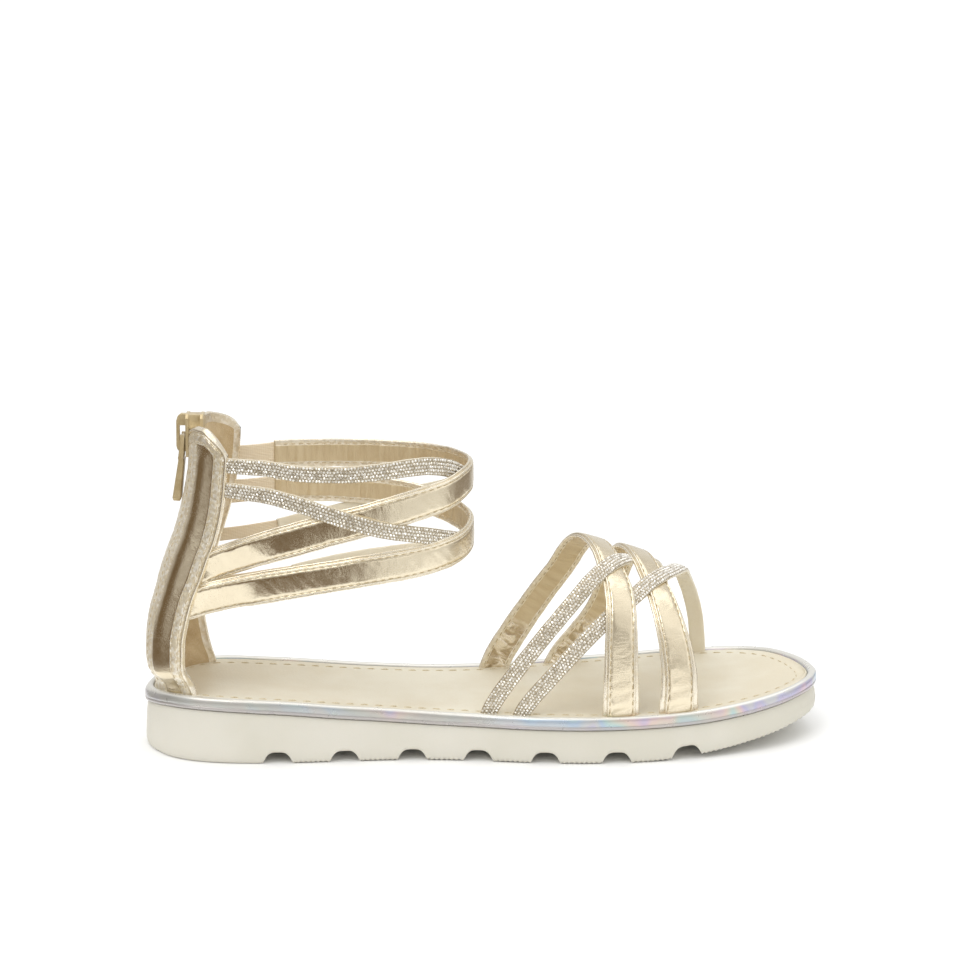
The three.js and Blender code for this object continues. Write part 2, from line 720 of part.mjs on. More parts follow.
// ---- heel quarters ----
const shell = Object.fromEntries(["back", "frontLat", "frontMed", "lat", "med"].map((k) => [k, smooth(SHELL, "z", k)]));
const topEdge = { lat: smooth(QUARTER_TOP, "u", "lat"), med: smooth(QUARTER_TOP, "u", "med") };
const centreY = -1.2;
function shellPoint(side, u, z) {
  const lat = side === "lat",
    back = shell.back(z),
    front = lat ? shell.frontLat(z) : shell.frontMed(z),
    half = lat ? shell.lat(z) : shell.med(z),
    u0 = Math.asin(ZIP_HALF_GAP / half),
    th = mix(u0, Math.PI / 2, u);
  const p = new THREE.Vector3(mix(back, front, 1 - Math.cos(th)), centreY + (lat ? -1 : 1) * half * Math.sin(th), z);
  // low down the panel stands just inside the band and follows it
  const c = seatPoint(front, p),
    k = Math.min(Math.max((topZ(c.x) + 6.5 - z) / 6, 0), 1);
  const e = k * k * (3 - 2 * k);
  return new THREE.Vector3(mix(p.x, c.x, e), mix(p.y, c.y, e), z);
}
// Where the ray from the middle of the heel through p meets the inner wall of the band.
const seatLine = outlinePoints.map((_, i) => inset(i, RAND_WIDTH + GAP + 0.05));
function seatPoint(cx, p) {
  const dx = p.x - cx - 1e-6,
    dy = p.y - centreY;
  for (let i = 0; i < N; i++) {
    const a = seatLine[i],
      b = seatLine[(i + 1) % N],
      ex = b.x - a.x,
      ey = b.y - a.y,
      det = dx * ey - dy * ex;
    if (Math.abs(det) < 1e-9) continue;
    const t = ((a.x - cx) * ey - (a.y - centreY) * ex) / det,
      q = ((a.x - cx) * dy - (a.y - centreY) * dx) / det;
    if (t > 0 && q >= 0 && q <= 1) return new THREE.Vector3(cx + dx * t, centreY + dy * t, 0);
  }
  return p;
}
function quarterPoint(side, u, v, depth, grow = 0, vRange = [0, 1]) {
  const bottom = topZ(-93) - LEG_DEPTH - 0.2,
    zAt = (uu, vv) => {
      const lowest = mix(topZ(-102), topZ(side === "lat" ? -87 : -85), uu) - LEG_DEPTH;
      return mix(Math.min(lowest, bottom + 1), topEdge[side](uu), mix(vRange[0], vRange[1], vv));
    };
  const p = shellPoint(side, u, zAt(u, v));
  const e = 0.01,
    du = shellPoint(side, u + e, zAt(u, v)).sub(shellPoint(side, u - e, zAt(u, v))),
    dv = shellPoint(side, u, zAt(u, v) + 0.5).sub(shellPoint(side, u, zAt(u, v) - 0.5));
  const n = new THREE.Vector3().crossVectors(du, dv).normalize();
  if (n.x * (p.x + 82) + n.y * (p.y - centreY) < 0) n.negate();
  if (grow) p.addScaledVector(du.normalize(), (u < 0.5 ? -1 : 1) * grow);
  return p.addScaledVector(n, depth);
}
// A panel: rings go round its section (outer face, front edge, inner face, back edge) and rise from foot to top.
function quarter(side, rows, cols, thick, grow = 0, vRange = [0, 1]) {
  const rings = [];
  for (let k = 0; k <= rows; k++) {
    const v = k / rows,
      ring = [];
    const at = (u, d) => quarterPoint(side, u, v, d, grow, vRange).toArray();
    const soft = k === rows && !grow ? 0.4 : 0; // the top edge is a little rounded
    for (let j = 0; j <= cols; j++) ring.push(at(j / cols, 0 - (j === 0 || j === cols ? 0.5 : 0) - soft + grow));
    for (let j = cols; j >= 0; j--) ring.push(at(j / cols, -thick + (j === 0 || j === cols ? 0.5 : 0) + soft - grow));
    rings.push(ring);
  }
  // the ends are strips between the outer and inner faces
  const n = rings[0].length,
    pts = rings.flat(),
    tris = [];
  for (let k = 0; k < rows; k++)
    for (let i = 0; i < n; i++) {
      const a = k * n + i,
        b = k * n + ((i + 1) % n);
      tris.push([a, b, b + n], [a, b + n, a + n]);
    }
  for (const [base, up] of [
    [0, false],
    [rows * n, true],
  ])
    for (let j = 0; j < cols; j++) {
      const a = base + j,
        b = base + j + 1,
        c = base + n - 1 - j,
        d = base + n - 2 - j;
      tris.push(up ? [a, b, d] : [a, d, b], up ? [a, d, c] : [a, c, d]);
    }
  return solid(pts, tris);
}
const quarterLateral = quarter("lat", 20, 7, QUARTER_THICK).subtract(footCut);
const quarterMedial = quarter("med", 20, 7, QUARTER_THICK).subtract(footCut);
for (const side of ["lat", "med"]) insole = insole.subtract(quarter(side, 5, 7, QUARTER_THICK, GAP, [-0.02, 0.2]));

// The straps and elastics stop short of the quarters' front edges.
const frontCut = (side) => {
  const rings = [];
  for (let k = 0; k <= 14; k++) {
    const z = mix(36, 104, k / 14),
      front = (side === "lat" ? shell.frontLat(z) : shell.frontMed(z)) + GAP + 0.05,
      y0 = side === "lat" ? -34 : 6,
      y1 = side === "lat" ? -6 : 34;
    rings.push([
      [front - 26, y0, z],
      [front, y0, z],
      [front, y1, z],
      [front - 26, y1, z],
    ]);
  }
  return loft(rings);
};
const cutLat = frontCut("lat"),
  cutMed = frontCut("med");
ankleStraps = ankleStraps.subtract(cutLat);
const elastics = Object.entries(ELASTICS).map(([name, e]) => {
  const end = Math.min(e.from + 24, loopLength - 0.5),
    frames = Array.from({ length: 7 }, (_, i) => {
      const t = i / 6,
        s = mix(e.from, end, t);
      return ankleFrame(s, mix(e.z0, e.z1, t), (e.z1 - e.z0) / (end - e.from), e.w, 0);
    });
  return [name, ribbon(frames, 1.2, false).subtract(cutMed)];
});

// ---- zip ----
// Back profile of the zip as a frame: w out, s up from a height z, y across.
const backSlope = (z) => {
  const d = new THREE.Vector2(shell.back(z + 1.5) - shell.back(z - 1.5), 3).normalize();
  return d;
};
const zipZ0 = topZ(-100) - RAND_HEIGHT - 1.2,
  zipZ1 = 98.8;
function zipRing(z, section) {
  const d = backSlope(z),
    x = shell.back(z) + CHAIN.recess + CHAIN.out;
  return section.map(([w, y]) => [x - w * d.y, centreY + y, z + w * d.x]);
}
const zipSection = [
  [CHAIN.out - 0.4, -CHAIN.half],
  [CHAIN.out, -CHAIN.half + 0.5],
  [CHAIN.out, CHAIN.half - 0.5],
  [CHAIN.out - 0.4, CHAIN.half],
  [-CHAIN.in, CHAIN.half],
  [-CHAIN.in, CHAIN.tapeHalf],
  [-CHAIN.in - CHAIN.tapeThick, CHAIN.tapeHalf],
  [-CHAIN.in - CHAIN.tapeThick, -CHAIN.tapeHalf],
  [-CHAIN.in, -CHAIN.tapeHalf],
  [-CHAIN.in, -CHAIN.half],
];
const chainPart = [zipSection[0], zipSection[1], zipSection[2], zipSection[3], [-CHAIN.in - 0.1, CHAIN.half], [-CHAIN.in - 0.1, -CHAIN.half]],
  tapePart = zipSection.slice(5, 9);
const zipRun = (section) => loft(Array.from({ length: 23 }, (_, k) => zipRing(mix(zipZ0, zipZ1, k / 22), section)));
const zipTape = zipRun(chainPart).add(zipRun(tapePart)).subtract(footCut);
insole = insole.subtract(
  loft(
    Array.from({ length: 4 }, (_, k) =>
      zipRing(
        mix(zipZ0 - 0.8, zipZ0 + 8, k / 3),
        [
          [CHAIN.out + 0.4, -CHAIN.tapeHalf - 0.4],
          [CHAIN.out + 0.4, CHAIN.tapeHalf + 0.4],
          [-CHAIN.in - CHAIN.tapeThick - 0.4, CHAIN.tapeHalf + 0.4],
          [-CHAIN.in - CHAIN.tapeThick - 0.4, -CHAIN.tapeHalf - 0.4],
        ],
      ),
    ),
  ),
);
// the thin lip behind the heel panels is trimmed away
insole = insole.decompose().sort((a, b) => b.volume() - a.volume())[0];

// ---- slider and pull ----
const sliderSlope = backSlope(SLIDER.z);
const sliderOrigin = new THREE.Vector3(shell.back(SLIDER.z) + CHAIN.recess, centreY, SLIDER.z);
const sliderFrame = (w, s, y) => {
  const ox = -sliderSlope.y,
    oz = sliderSlope.x,
    ux = sliderSlope.x,
    uz = sliderSlope.y;
  return [sliderOrigin.x + w * ox + s * ux, sliderOrigin.y + y, sliderOrigin.z + w * oz + s * uz];
};
const P = SLIDER,
  w0 = GAP + 0.15,
  w1 = w0 + P.plateThick,
  chainBack = CHAIN.out + CHAIN.in + CHAIN.tapeThick,
  topOfChain = (zipZ1 - SLIDER.z) / sliderSlope.y + 0.4;
// Plates taper towards the bottom, like the wings of a slider.
const plate = (a, b, half) =>
  loft(
    [
      [P.plateLow, half - 0.8],
      [-1.5, half],
      [P.plateTop - 1.2, half],
      [P.plateTop, half - 1.0],
    ].map(([s, h]) => [sliderFrame(a, s, -h), sliderFrame(b, s, -h), sliderFrame(b, s, h), sliderFrame(a, s, h)]),
  );
const bailOut = w1 + P.bailRise,
  bailProfile = [
    [w1 - 0.3, P.bailLow + 0.4],
    [bailOut - 1.2, P.bailLow],
    [bailOut - 0.3, P.bailLow + 0.9],
    [bailOut, P.bailLow + 2.0],
    [bailOut, P.bailTop - 2.2],
    [bailOut - 0.4, P.bailTop - 0.8],
    [bailOut - 1.4, P.bailTop],
    [w1 - 0.3, P.bailTop],
  ];
const zipSlider = plate(w0, w1, P.plateHalf)
  .add(plate(-chainBack - GAP - 1.0, -chainBack - GAP, P.plateHalf))
  .add(box(sliderFrame, -chainBack - GAP - 0.8, w0 + 0.5, topOfChain, P.plateTop - 0.2, -P.plateHalf + 1.0, P.plateHalf - 1.0))
  .add(loft([-P.bailHalf, P.bailHalf].map((y) => bailProfile.map(([w, s]) => sliderFrame(w, s, y)))))
  .subtract(box(sliderFrame, w1, bailOut - P.bailWall, P.slotLow, P.slotTop, -4, 4));
// The pull hangs from its cross bar inside the bail, leaning out a little: r along it, q through it.
const lean = PULL.lean * rad;
const pullFrame = (q, r, y) => {
  const s = PULL.barS - r * Math.cos(lean) + q * Math.sin(lean),
    w = PULL.barW + r * Math.sin(lean) + q * Math.cos(lean);
  return sliderFrame(w, s, y);
};
const bar = loft(
  [-PULL.half + 0.4, PULL.half - 0.4].map((y) =>
    Array.from({ length: 10 }, (_, i) => {
      const a = (i * 36 + 18) * rad;
      return pullFrame(PULL.barR * Math.cos(a), PULL.barR * Math.sin(a), y);
    }),
  ),
);
const ht = PULL.thick / 2;
let zipPull = bar;
for (const y of [
  [-PULL.half, -PULL.armIn],
  [PULL.armIn, PULL.half],
])
  zipPull = zipPull.add(box(pullFrame, -0.65, 0.65, -0.65, PULL.reach + 0.5, y[0], y[1]));
const tabRing = (r, half, t) => [
  pullFrame(-t, r, -half + 0.3),
  pullFrame(-t, r, half - 0.3),
  pullFrame(-t + 0.3, r, half),
  pullFrame(t - 0.3, r, half),
  pullFrame(t, r, half - 0.3),
  pullFrame(t, r, -half + 0.3),
  pullFrame(t - 0.3, r, -half),
  pullFrame(-t + 0.3, r, -half),
];
zipPull = zipPull.add(
  loft([
    tabRing(PULL.reach, PULL.half, ht - 0.1),
    tabRing(PULL.reach + 0.8, PULL.half, ht),
    tabRing(PULL.length - 5, PULL.half - 0.35, ht),
    tabRing(PULL.length - 0.9, PULL.half - 0.5, ht),
    tabRing(PULL.length, PULL.half - 1.1, ht - 0.3),
  ]),
);

// ---- group ----
const FINISH = {
  outsole: [0xe6e2d8, 0.0, 0.55],
  rand: [0xcfcdd2, 0.6, 0.3],
  insole: [0xe6dccb, 0.0, 0.6],
  gold: [0xcdbb93, 0.7, 0.35],
  elastic: [0xe4d0aa, 0.0, 0.8],
  zip: [0xcbb88c, 0.1, 0.7],
  metal: [0xd2c096, 0.9, 0.3],
};
const PIECES = [
  ["outsole", outsole, FINISH.outsole],
  ["rand", rand, FINISH.rand],
  ["insole", insole, FINISH.insole],
  ["vamp_straps", vampStraps, FINISH.gold],
  ["ankle_straps", ankleStraps, FINISH.gold],
  ["quarter_lateral", quarterLateral, FINISH.gold],
  ["quarter_medial", quarterMedial, FINISH.gold],
  ...elastics.map(([name, s]) => [name, s, FINISH.elastic]),
  ["zip_tape", zipTape, FINISH.zip],
  ["zip_slider", zipSlider, FINISH.metal],
  ["zip_pull", zipPull, FINISH.metal],
];
// The frame's origin is the middle of the bounding box, on the floor.
const boxes = PIECES.map(([, s]) => s.boundingBox());
const low = [0, 1, 2].map((k) => Math.min(...boxes.map((b) => b.min[k]))),
  high = [0, 1, 2].map((k) => Math.max(...boxes.map((b) => b.max[k])));
const shift = [-(low[0] + high[0]) / 2, -(low[1] + high[1]) / 2, -low[2]];

const root = new THREE.Group();
root.name = "gladiator_sandal_right";
for (const [name, s, [color, metalness, roughness]] of PIECES) {
  const m = s.getMesh(),
    k = m.numProp,
    v = new Float32Array(m.numVert * 3);
  for (let i = 0; i < m.numVert; i++) for (let j = 0; j < 3; j++) v[i * 3 + j] = m.vertProperties[i * k + j] + shift[j];
  const g = new THREE.BufferGeometry();
  g.setAttribute("position", new THREE.BufferAttribute(v, 3));
  g.setIndex(new THREE.BufferAttribute(new Uint32Array(m.triVerts), 1));
  const mesh = new THREE.Mesh(g, new THREE.MeshStandardMaterial({ name: name + "_finish", color, metalness, roughness }));
  mesh.name = name;
  root.add(mesh);
}
root.userData.shift = shift;
export default root;
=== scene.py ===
"""Looks of the gladiator sandal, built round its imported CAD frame. Sizes in the code are millimetres of the sole's own
table frame (+X toe, +Y medial, +Z up); place() turns them into metres of the row frame."""

import math

import bmesh
import bpy
import numpy as np
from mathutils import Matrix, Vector


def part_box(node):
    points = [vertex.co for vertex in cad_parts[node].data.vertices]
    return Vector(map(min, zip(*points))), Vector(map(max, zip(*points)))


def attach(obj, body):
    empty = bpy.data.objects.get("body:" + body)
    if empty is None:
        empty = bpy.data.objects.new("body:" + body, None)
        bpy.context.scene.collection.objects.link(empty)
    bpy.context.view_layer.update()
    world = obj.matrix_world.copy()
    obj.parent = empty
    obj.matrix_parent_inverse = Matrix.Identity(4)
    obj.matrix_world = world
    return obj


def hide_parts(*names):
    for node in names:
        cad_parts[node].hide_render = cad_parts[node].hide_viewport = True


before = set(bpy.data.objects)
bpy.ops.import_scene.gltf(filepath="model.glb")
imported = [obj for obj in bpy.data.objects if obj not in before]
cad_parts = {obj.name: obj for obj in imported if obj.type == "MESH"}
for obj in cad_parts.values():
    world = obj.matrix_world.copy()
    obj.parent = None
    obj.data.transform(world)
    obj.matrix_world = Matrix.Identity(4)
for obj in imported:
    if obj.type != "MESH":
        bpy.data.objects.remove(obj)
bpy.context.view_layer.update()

RNG = np.random.default_rng(11)
TAU = 2 * math.pi

# ------------------------------------------------------------------ tables shared with the CAD part
GAP = 0.3
RAND_HEIGHT, RAND_WIDTH = 3.9, 2.8
SPRING_START, SPRING_HEIGHT, SPRING_POWER = 50.0, 8.0, 1.7
CHANNELS_X = [-61.0, -40.7, -20.2, 0.0, 20.5, 42.2, 63.6]
INSOLE_DROP, HEEL_DISH, FORE_DISH = 0.5, 1.5, 0.7
STONE_WIDTH, LEG_INSET, ARCH_POWER = 5.0, 4.15, 2.4
QUARTER_THICK, ZIP_HALF_GAP, CENTRE_Y = 2.4, 3.6, -1.2
CHAIN_OUT, CHAIN_IN, CHAIN_RECESS = 0.6, 1.4, 0.5

OUTLINE = [
    (-104.0, -1.6, -1.6), (-102.6, -8.6, 5.4), (-99.4, -14.6, 11.6), (-94.5, -20.2, 17.0), (-88.0, -23.9, 20.9),
    (-80.0, -25.9, 22.6), (-70.0, -26.5, 23.1), (-57.0, -25.9, 24.1), (-44.0, -24.5, 25.8), (-30.0, -22.8, 28.0),
    (-16.0, -22.0, 30.8), (-3.0, -22.4, 33.6), (10.0, -23.7, 37.2), (22.0, -24.7, 41.4), (34.0, -24.7, 45.4),
    (45.0, -23.6, 48.6), (56.0, -21.7, 51.6), (66.0, -19.1, 53.0), (76.0, -15.6, 52.4), (85.0, -11.4, 49.6),
    (92.5, -6.8, 44.4), (98.0, -1.6, 37.0), (102.0, 3.4, 28.6), (104.3, 8.2, 20.8), (105.3, 14.0, 14.0),
]
TOP_LINE = [
    (-104, 17.7), (-100, 19.2), (-93, 20.4), (-85, 20.6), (-63, 19.7), (-37, 17.3), (-10, 15.3), (15, 14.7),
    (40, 14.6), (56, 14.8), (68, 15.2), (82, 16.4), (92, 17.7), (100, 18.9), (106, 19.9),
]
CREST = [(-10, 66.5), (15, 65.0), (31, 62.2), (47, 56.2), (61, 50.6), (80, 43.0)]
# angle on the arch, x of the middle, lift off the arch
FORE = {
    "gold_rear": [
        (0, 43.4, 0), (20, 43.4, 0.2), (42, 43.2, 0.95), (56, 42.3, 0.6), (69, 41.1, -0.9), (83, 39.0, -0.4),
        (97, 35.5, 0), (116, 30.8, 0), (140, 25.4, 0), (156, 18.2, 0), (168, 11.4, 0), (180, 3.6, 0),
    ],
    "gold_front": [
        (0, 61.1, 0), (10, 61.4, 0), (24, 60.6, 0), (44, 58.1, 0), (60, 56.0, -0.5), (71, 54.4, -0.95),
        (85, 51.2, 0.5), (96, 48.4, 1.0), (112, 45.6, 0.6), (134, 43.0, 0), (150, 40.6, 0), (163, 37.2, 0),
        (173, 31.0, 0), (180, 24.4, 0),
    ],
    "stone_rear": [
        (0, 3.0, 0), (10, 10.3, 0), (24, 19.4, 0), (41, 28.6, 0.3), (60, 36.4, 0.9), (70, 40.1, 1.0),
        (80, 43.7, 0.4), (94, 48.6, -0.95), (106, 52.0, -0.6), (125, 55.2, 0), (152, 58.0, 0), (168, 60.3, 0),
        (180, 61.6, 0),
    ],
    "stone_front": [
        (0, 12.9, 0), (9, 21.0, 0), (21, 30.0, -0.3), (33, 37.4, -0.85), (43, 42.8, -0.95), (54, 47.9, -0.4),
        (65, 52.0, 0.8), (75, 55.8, 1.0), (88, 59.8, 0.4), (98, 62.0, 0), (126, 64.2, 0), (141, 66.2, 0),
        (157, 68.2, 0), (170, 69.2, 0), (180, 69.6, 0),
    ],
}
FORE_GOLD_WIDTH, FLARE = 9.6, {"gold_rear": 1.6, "gold_front": 2.8}
LOOP = [
    (-90.0, -19.0), (-83.0, -19.6), (-76.0, -20.4), (-66.0, -23.4), (-54.0, -25.8), (-40.0, -26.8), (-27.0, -25.4),
    (-15.0, -20.6), (-7.2, -12.8), (-3.6, -2.0), (-4.6, 9.0), (-10.2, 18.5), (-20.0, 25.0), (-32.0, 28.0),
    (-44.0, 28.2), (-56.0, 26.6), (-67.0, 23.6), (-76.0, 20.4), (-83.0, 19.0), (-90.0, 18.0),
]
# length along the loop, z of the middle, width, lift
ANKLE = {
    "gold_high": [
        (6, 59.4, 10.4, 0), (26, 67.2, 10.2, 0), (37, 70.8, 10.2, -0.2), (47, 73.8, 10.2, -0.85),
        (57, 76.3, 10.0, -0.95), (66, 78.8, 10.0, -0.2), (74, 80.8, 10.0, 0.4), (84, 82.6, 10.0, 0.9),
        (94, 84.6, 9.6, 0.95), (104, 85.2, 9.2, 0.6), (118, 85.0, 9.0, 0), (138, 85.0, 9.0, 0), (158, 85.2, 9.0, 0),
        (179.6, 85.5, 9.0, 0),
    ],
    "gold_low": [
        (3, 49.0, 10.4, 0), (21, 53.8, 10.2, 0), (33, 56.6, 10.0, 0), (45, 59.0, 9.8, 0), (58, 61.2, 9.8, 0),
        (70, 62.6, 9.8, 0), (82, 64.0, 9.6, 0.5), (92, 65.4, 9.6, 0.95), (103, 67.2, 9.4, 0.9), (114, 68.8, 9.2, 0),
        (126, 70.8, 9.0, -0.9), (140, 72.6, 9.0, -0.95), (154, 73.6, 9.0, -0.5), (166, 74.2, 9.0, 0),
        (179.6, 74.6, 9.0, 0),
    ],
    "stone_high": [
        (12.4, 91.8, 4.6, 0), (26, 91.9, 4.8, 0), (38, 90.6, 4.9, 0), (50, 90.6, 5.0, 0), (62, 91.4, 5.2, 0),
        (74, 92.2, 5.4, -0.3), (84, 90.6, 5.4, -0.9), (94, 87.0, 5.2, -0.95), (104, 83.2, 5.0, -0.7),
        (116, 78.8, 5.0, 0.3), (128, 74.6, 5.0, 0.95), (142, 70.6, 5.0, 0.95), (156, 66.8, 5.0, 0.5),
        (166, 64.6, 5.0, 0.1), (178.6, 62.0, 5.0, 0),
    ],
    "stone_low": [
        (12.4, 84.4, 4.6, 0), (26, 83.6, 4.8, 0), (36, 81.6, 4.9, 0.2), (46, 78.6, 5.0, 0.85), (56, 75.4, 5.0, 0.95),
        (65, 73.0, 5.0, 0.6), (74, 71.2, 5.0, 0.1), (84, 68.6, 5.0, -0.7), (94, 65.8, 5.0, -0.95),
        (104, 62.8, 5.0, -0.95), (114, 59.4, 5.0, -0.4), (126, 56.0, 5.0, 0), (142, 52.8, 5.0, 0),
        (158, 50.0, 5.0, 0), (174.0, 46.8, 5.0, 0),
    ],
}
ELASTICS = {
    "elastic_gold_high": (179.9, 85.5, 85.2, 7.6),
    "elastic_gold_low": (179.9, 74.6, 74.4, 7.6),
    "elastic_stone_high": (178.9, 62.0, 60.4, 4.2),
    "elastic_stone_low": (174.3, 46.8, 44.6, 4.2),
}
# z, centre back x, front x lateral, front x medial, half width lateral, half width medial
SHELL = [
    (10, -99.9, -85.4, -83.0, 20.0, 18.2), (18, -100.2, -86.3, -84.0, 20.6, 18.4), (21, -101.2, -86.9, -84.5, 21.0, 18.6),
    (24, -102.5, -88.0, -85.2, 21.4, 18.8), (30, -103.3, -89.6, -86.4, 21.4, 19.0), (36, -103.0, -89.5, -87.2, 21.2, 19.1),
    (43, -102.0, -88.3, -86.8, 21.0, 19.2), (50, -100.0, -86.4, -85.4, 20.8, 19.4), (57, -98.1, -83.6, -83.0, 20.6, 19.6),
    (63, -96.0, -81.5, -81.0, 20.5, 19.7), (69, -93.7, -79.2, -79.0, 20.4, 19.8), (76, -91.7, -77.4, -77.2, 20.3, 19.9),
    (82, -90.3, -76.4, -76.2, 20.2, 20.0), (89, -89.1, -75.7, -75.4, 20.1, 20.0), (95, -88.7, -75.2, -75.0, 19.9, 19.9),
    (103, -88.6, -75.0, -75.0, 19.6, 19.7),
]
QUARTER_TOP = [
    (0.0, 99.0, 100.4), (0.12, 100.2, 101.2), (0.36, 102.0, 101.5), (0.54, 102.1, 100.7), (0.72, 100.3, 99.6),
    (0.88, 97.6, 98.0), (1.0, 94.8, 95.6),
]

# ------------------------------------------------------------------ small maths


def smooth(rows, col=1):
    """A monotone cubic through the rows of a table, for numbers or arrays."""
    x = np.array([r[0] for r in rows], float)
    y = np.array([r[col] for r in rows], float)
    d = np.diff(y) / np.diff(x)
    m = np.zeros(len(x))
    for i in range(1, len(x) - 1):
        m[i] = 0 if d[i - 1] * d[i] <= 0 else 2 * d[i - 1] * d[i] / (d[i - 1] + d[i])
    m[0], m[-1] = d[0], d[-1]

    def at(v):
        v = np.asarray(v, float)
        i = np.clip(np.searchsorted(x, v, side="left") - 1, 0, len(x) - 2)
        h = x[i + 1] - x[i]
        t = (v - x[i]) / h
        t2, t3 = t * t, t * t * t
        r = (2 * t3 - 3 * t2 + 1) * y[i] + (t3 - 2 * t2 + t) * h * m[i] + (3 * t2 - 2 * t3) * y[i + 1] + (t3 - t2) * h * m[i + 1]
        r = np.where(v <= x[0], y[0] + m[0] * (v - x[0]), r)
        return np.where(v >= x[-1], y[-1] + m[-1] * (v - x[-1]), r)

    return at


def step(a, b, v):
    t = np.clip((np.asarray(v, float) - a) / (b - a), 0, 1)
    return t * t * (3 - 2 * t)


def centripetal(points, closed, count):
    """Points on a centripetal Catmull-Rom curve, evenly spaced in its own parameter."""
    p = np.array(points, float)
    n = len(p)
    spans = n if closed else n - 1
    out = []
    for k in range(count if closed else count + 1):
        t = spans * k / count
        i = min(int(t), spans - 1)
        w = t - i
        p0 = p[(i - 1) % n] if closed or i > 0 else 2 * p[0] - p[1]
        p1, p2 = p[i % n], p[(i + 1) % n]
        p3 = p[(i + 2) % n] if closed or i + 2 < n else 2 * p[-1] - p[-2]
        a, b, c = (max(float(((q - r) ** 2).sum()) ** 0.25, 1e-4) for q, r in ((p0, p1), (p1, p2), (p2, p3)))
        t1 = ((p1 - p0) / a - (p2 - p0) / (a + b) + (p2 - p1) / b) * b
        t2 = ((p2 - p1) / b - (p3 - p1) / (b + c) + (p3 - p2) / c) * b
        out.append(p1 + t1 * w + (-3 * p1 + 3 * p2 - 2 * t1 - t2) * w * w + (2 * p1 - 2 * p2 + t1 + t2) * w**3)
    return np.array(out)


def unit(v):
    return v / np.maximum(np.linalg.norm(v, axis=-1, keepdims=True), 1e-12)


def even(line, pitch):
    """A polyline resampled at an even pitch: (points, lengths)."""
    s = np.r_[0, np.cumsum(np.linalg.norm(np.diff(line, axis=0), axis=1))]
    n = max(int(round(s[-1] / pitch)), 2)
    at = np.linspace(0, s[-1], n + 1)
    return np.stack([np.interp(at, s, line[:, k]) for k in range(line.shape[1])], 1), at


def soften(a, sigma):
    """Gaussian smoothing along axis 0 that keeps both ends where they are. sigma is in samples."""
    if sigma <= 0:
        return a
    r = int(sigma * 3) + 1
    r = min(r, len(a) - 1)
    k = np.exp(-0.5 * (np.arange(-r, r + 1) / sigma) ** 2)
    k /= k.sum()
    a2 = a.reshape(len(a), -1)
    pad = np.vstack([2 * a2[0] - a2[r:0:-1], a2, 2 * a2[-1] - a2[-2 : -r - 2 : -1]])
    return np.stack([np.convolve(pad[:, j], k, "valid") for j in range(a2.shape[1])], 1).reshape(a.shape)


def wave(seed, lengths, x):
    """A calm irregular wave, about -1 to 1: a sum of sines of the given wavelengths with fixed phases."""
    r = np.random.default_rng(seed)
    total = np.zeros_like(np.asarray(x, float))
    for w in lengths:
        total = total + np.sin(TAU * np.asarray(x, float) / (w * r.uniform(0.85, 1.15)) + r.uniform(0, TAU))
    return total / len(lengths)


# ------------------------------------------------------------------ the sole's outline
_line = [(x, near) for x, near, _ in OUTLINE] + [(x, far) for x, _, far in OUTLINE[1:-1][::-1]]
RING = centripetal(_line, True, 1800)
RING_IN = unit(np.roll(RING, -1, 0) - np.roll(RING, 1, 0))[:, ::-1] * np.array([-1, 1])
top_z = smooth(TOP_LINE)
near_y = smooth(OUTLINE, 1)
far_y = smooth(OUTLINE, 2)
crest = smooth(CREST)


def spring(x):
    return SPRING_HEIGHT * np.clip((np.asarray(x, float) - SPRING_START) / (105.3 - SPRING_START), 0, None) ** SPRING_POWER


def sides(d):
    """For the outline moved in by d: (lowest x, highest x, near y of x, far y of x)."""
    p = RING + RING_IN * d
    a, b = int(np.argmin(p[:, 0])), int(np.argmax(p[:, 0]))
    near = np.array([p[i % len(p)] for i in range(a, b + 1 if b > a else b + 1 + len(p))])
    far = np.array([p[i % len(p)] for i in range(b, a + 1 + len(p))])[::-1]
    near = near[np.argsort(near[:, 0], kind="stable")]
    far = far[np.argsort(far[:, 0], kind="stable")]
    return p[a, 0], p[b, 0], (lambda x: np.interp(x, near[:, 0], near[:, 1])), (lambda x: np.interp(x, far[:, 0], far[:, 1]))


# The row frame's place: the rand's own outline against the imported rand.
_lo, _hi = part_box("rand")
SHIFT = np.array([
    (_lo.x + _hi.x) * 500 - (RING[:, 0].min() + RING[:, 0].max()) / 2,
    (_lo.y + _hi.y) * 500 - (RING[:, 1].min() + RING[:, 1].max()) / 2,
    0.0,
])


def place(p):
    return (np.asarray(p, float) + SHIFT) * 0.001


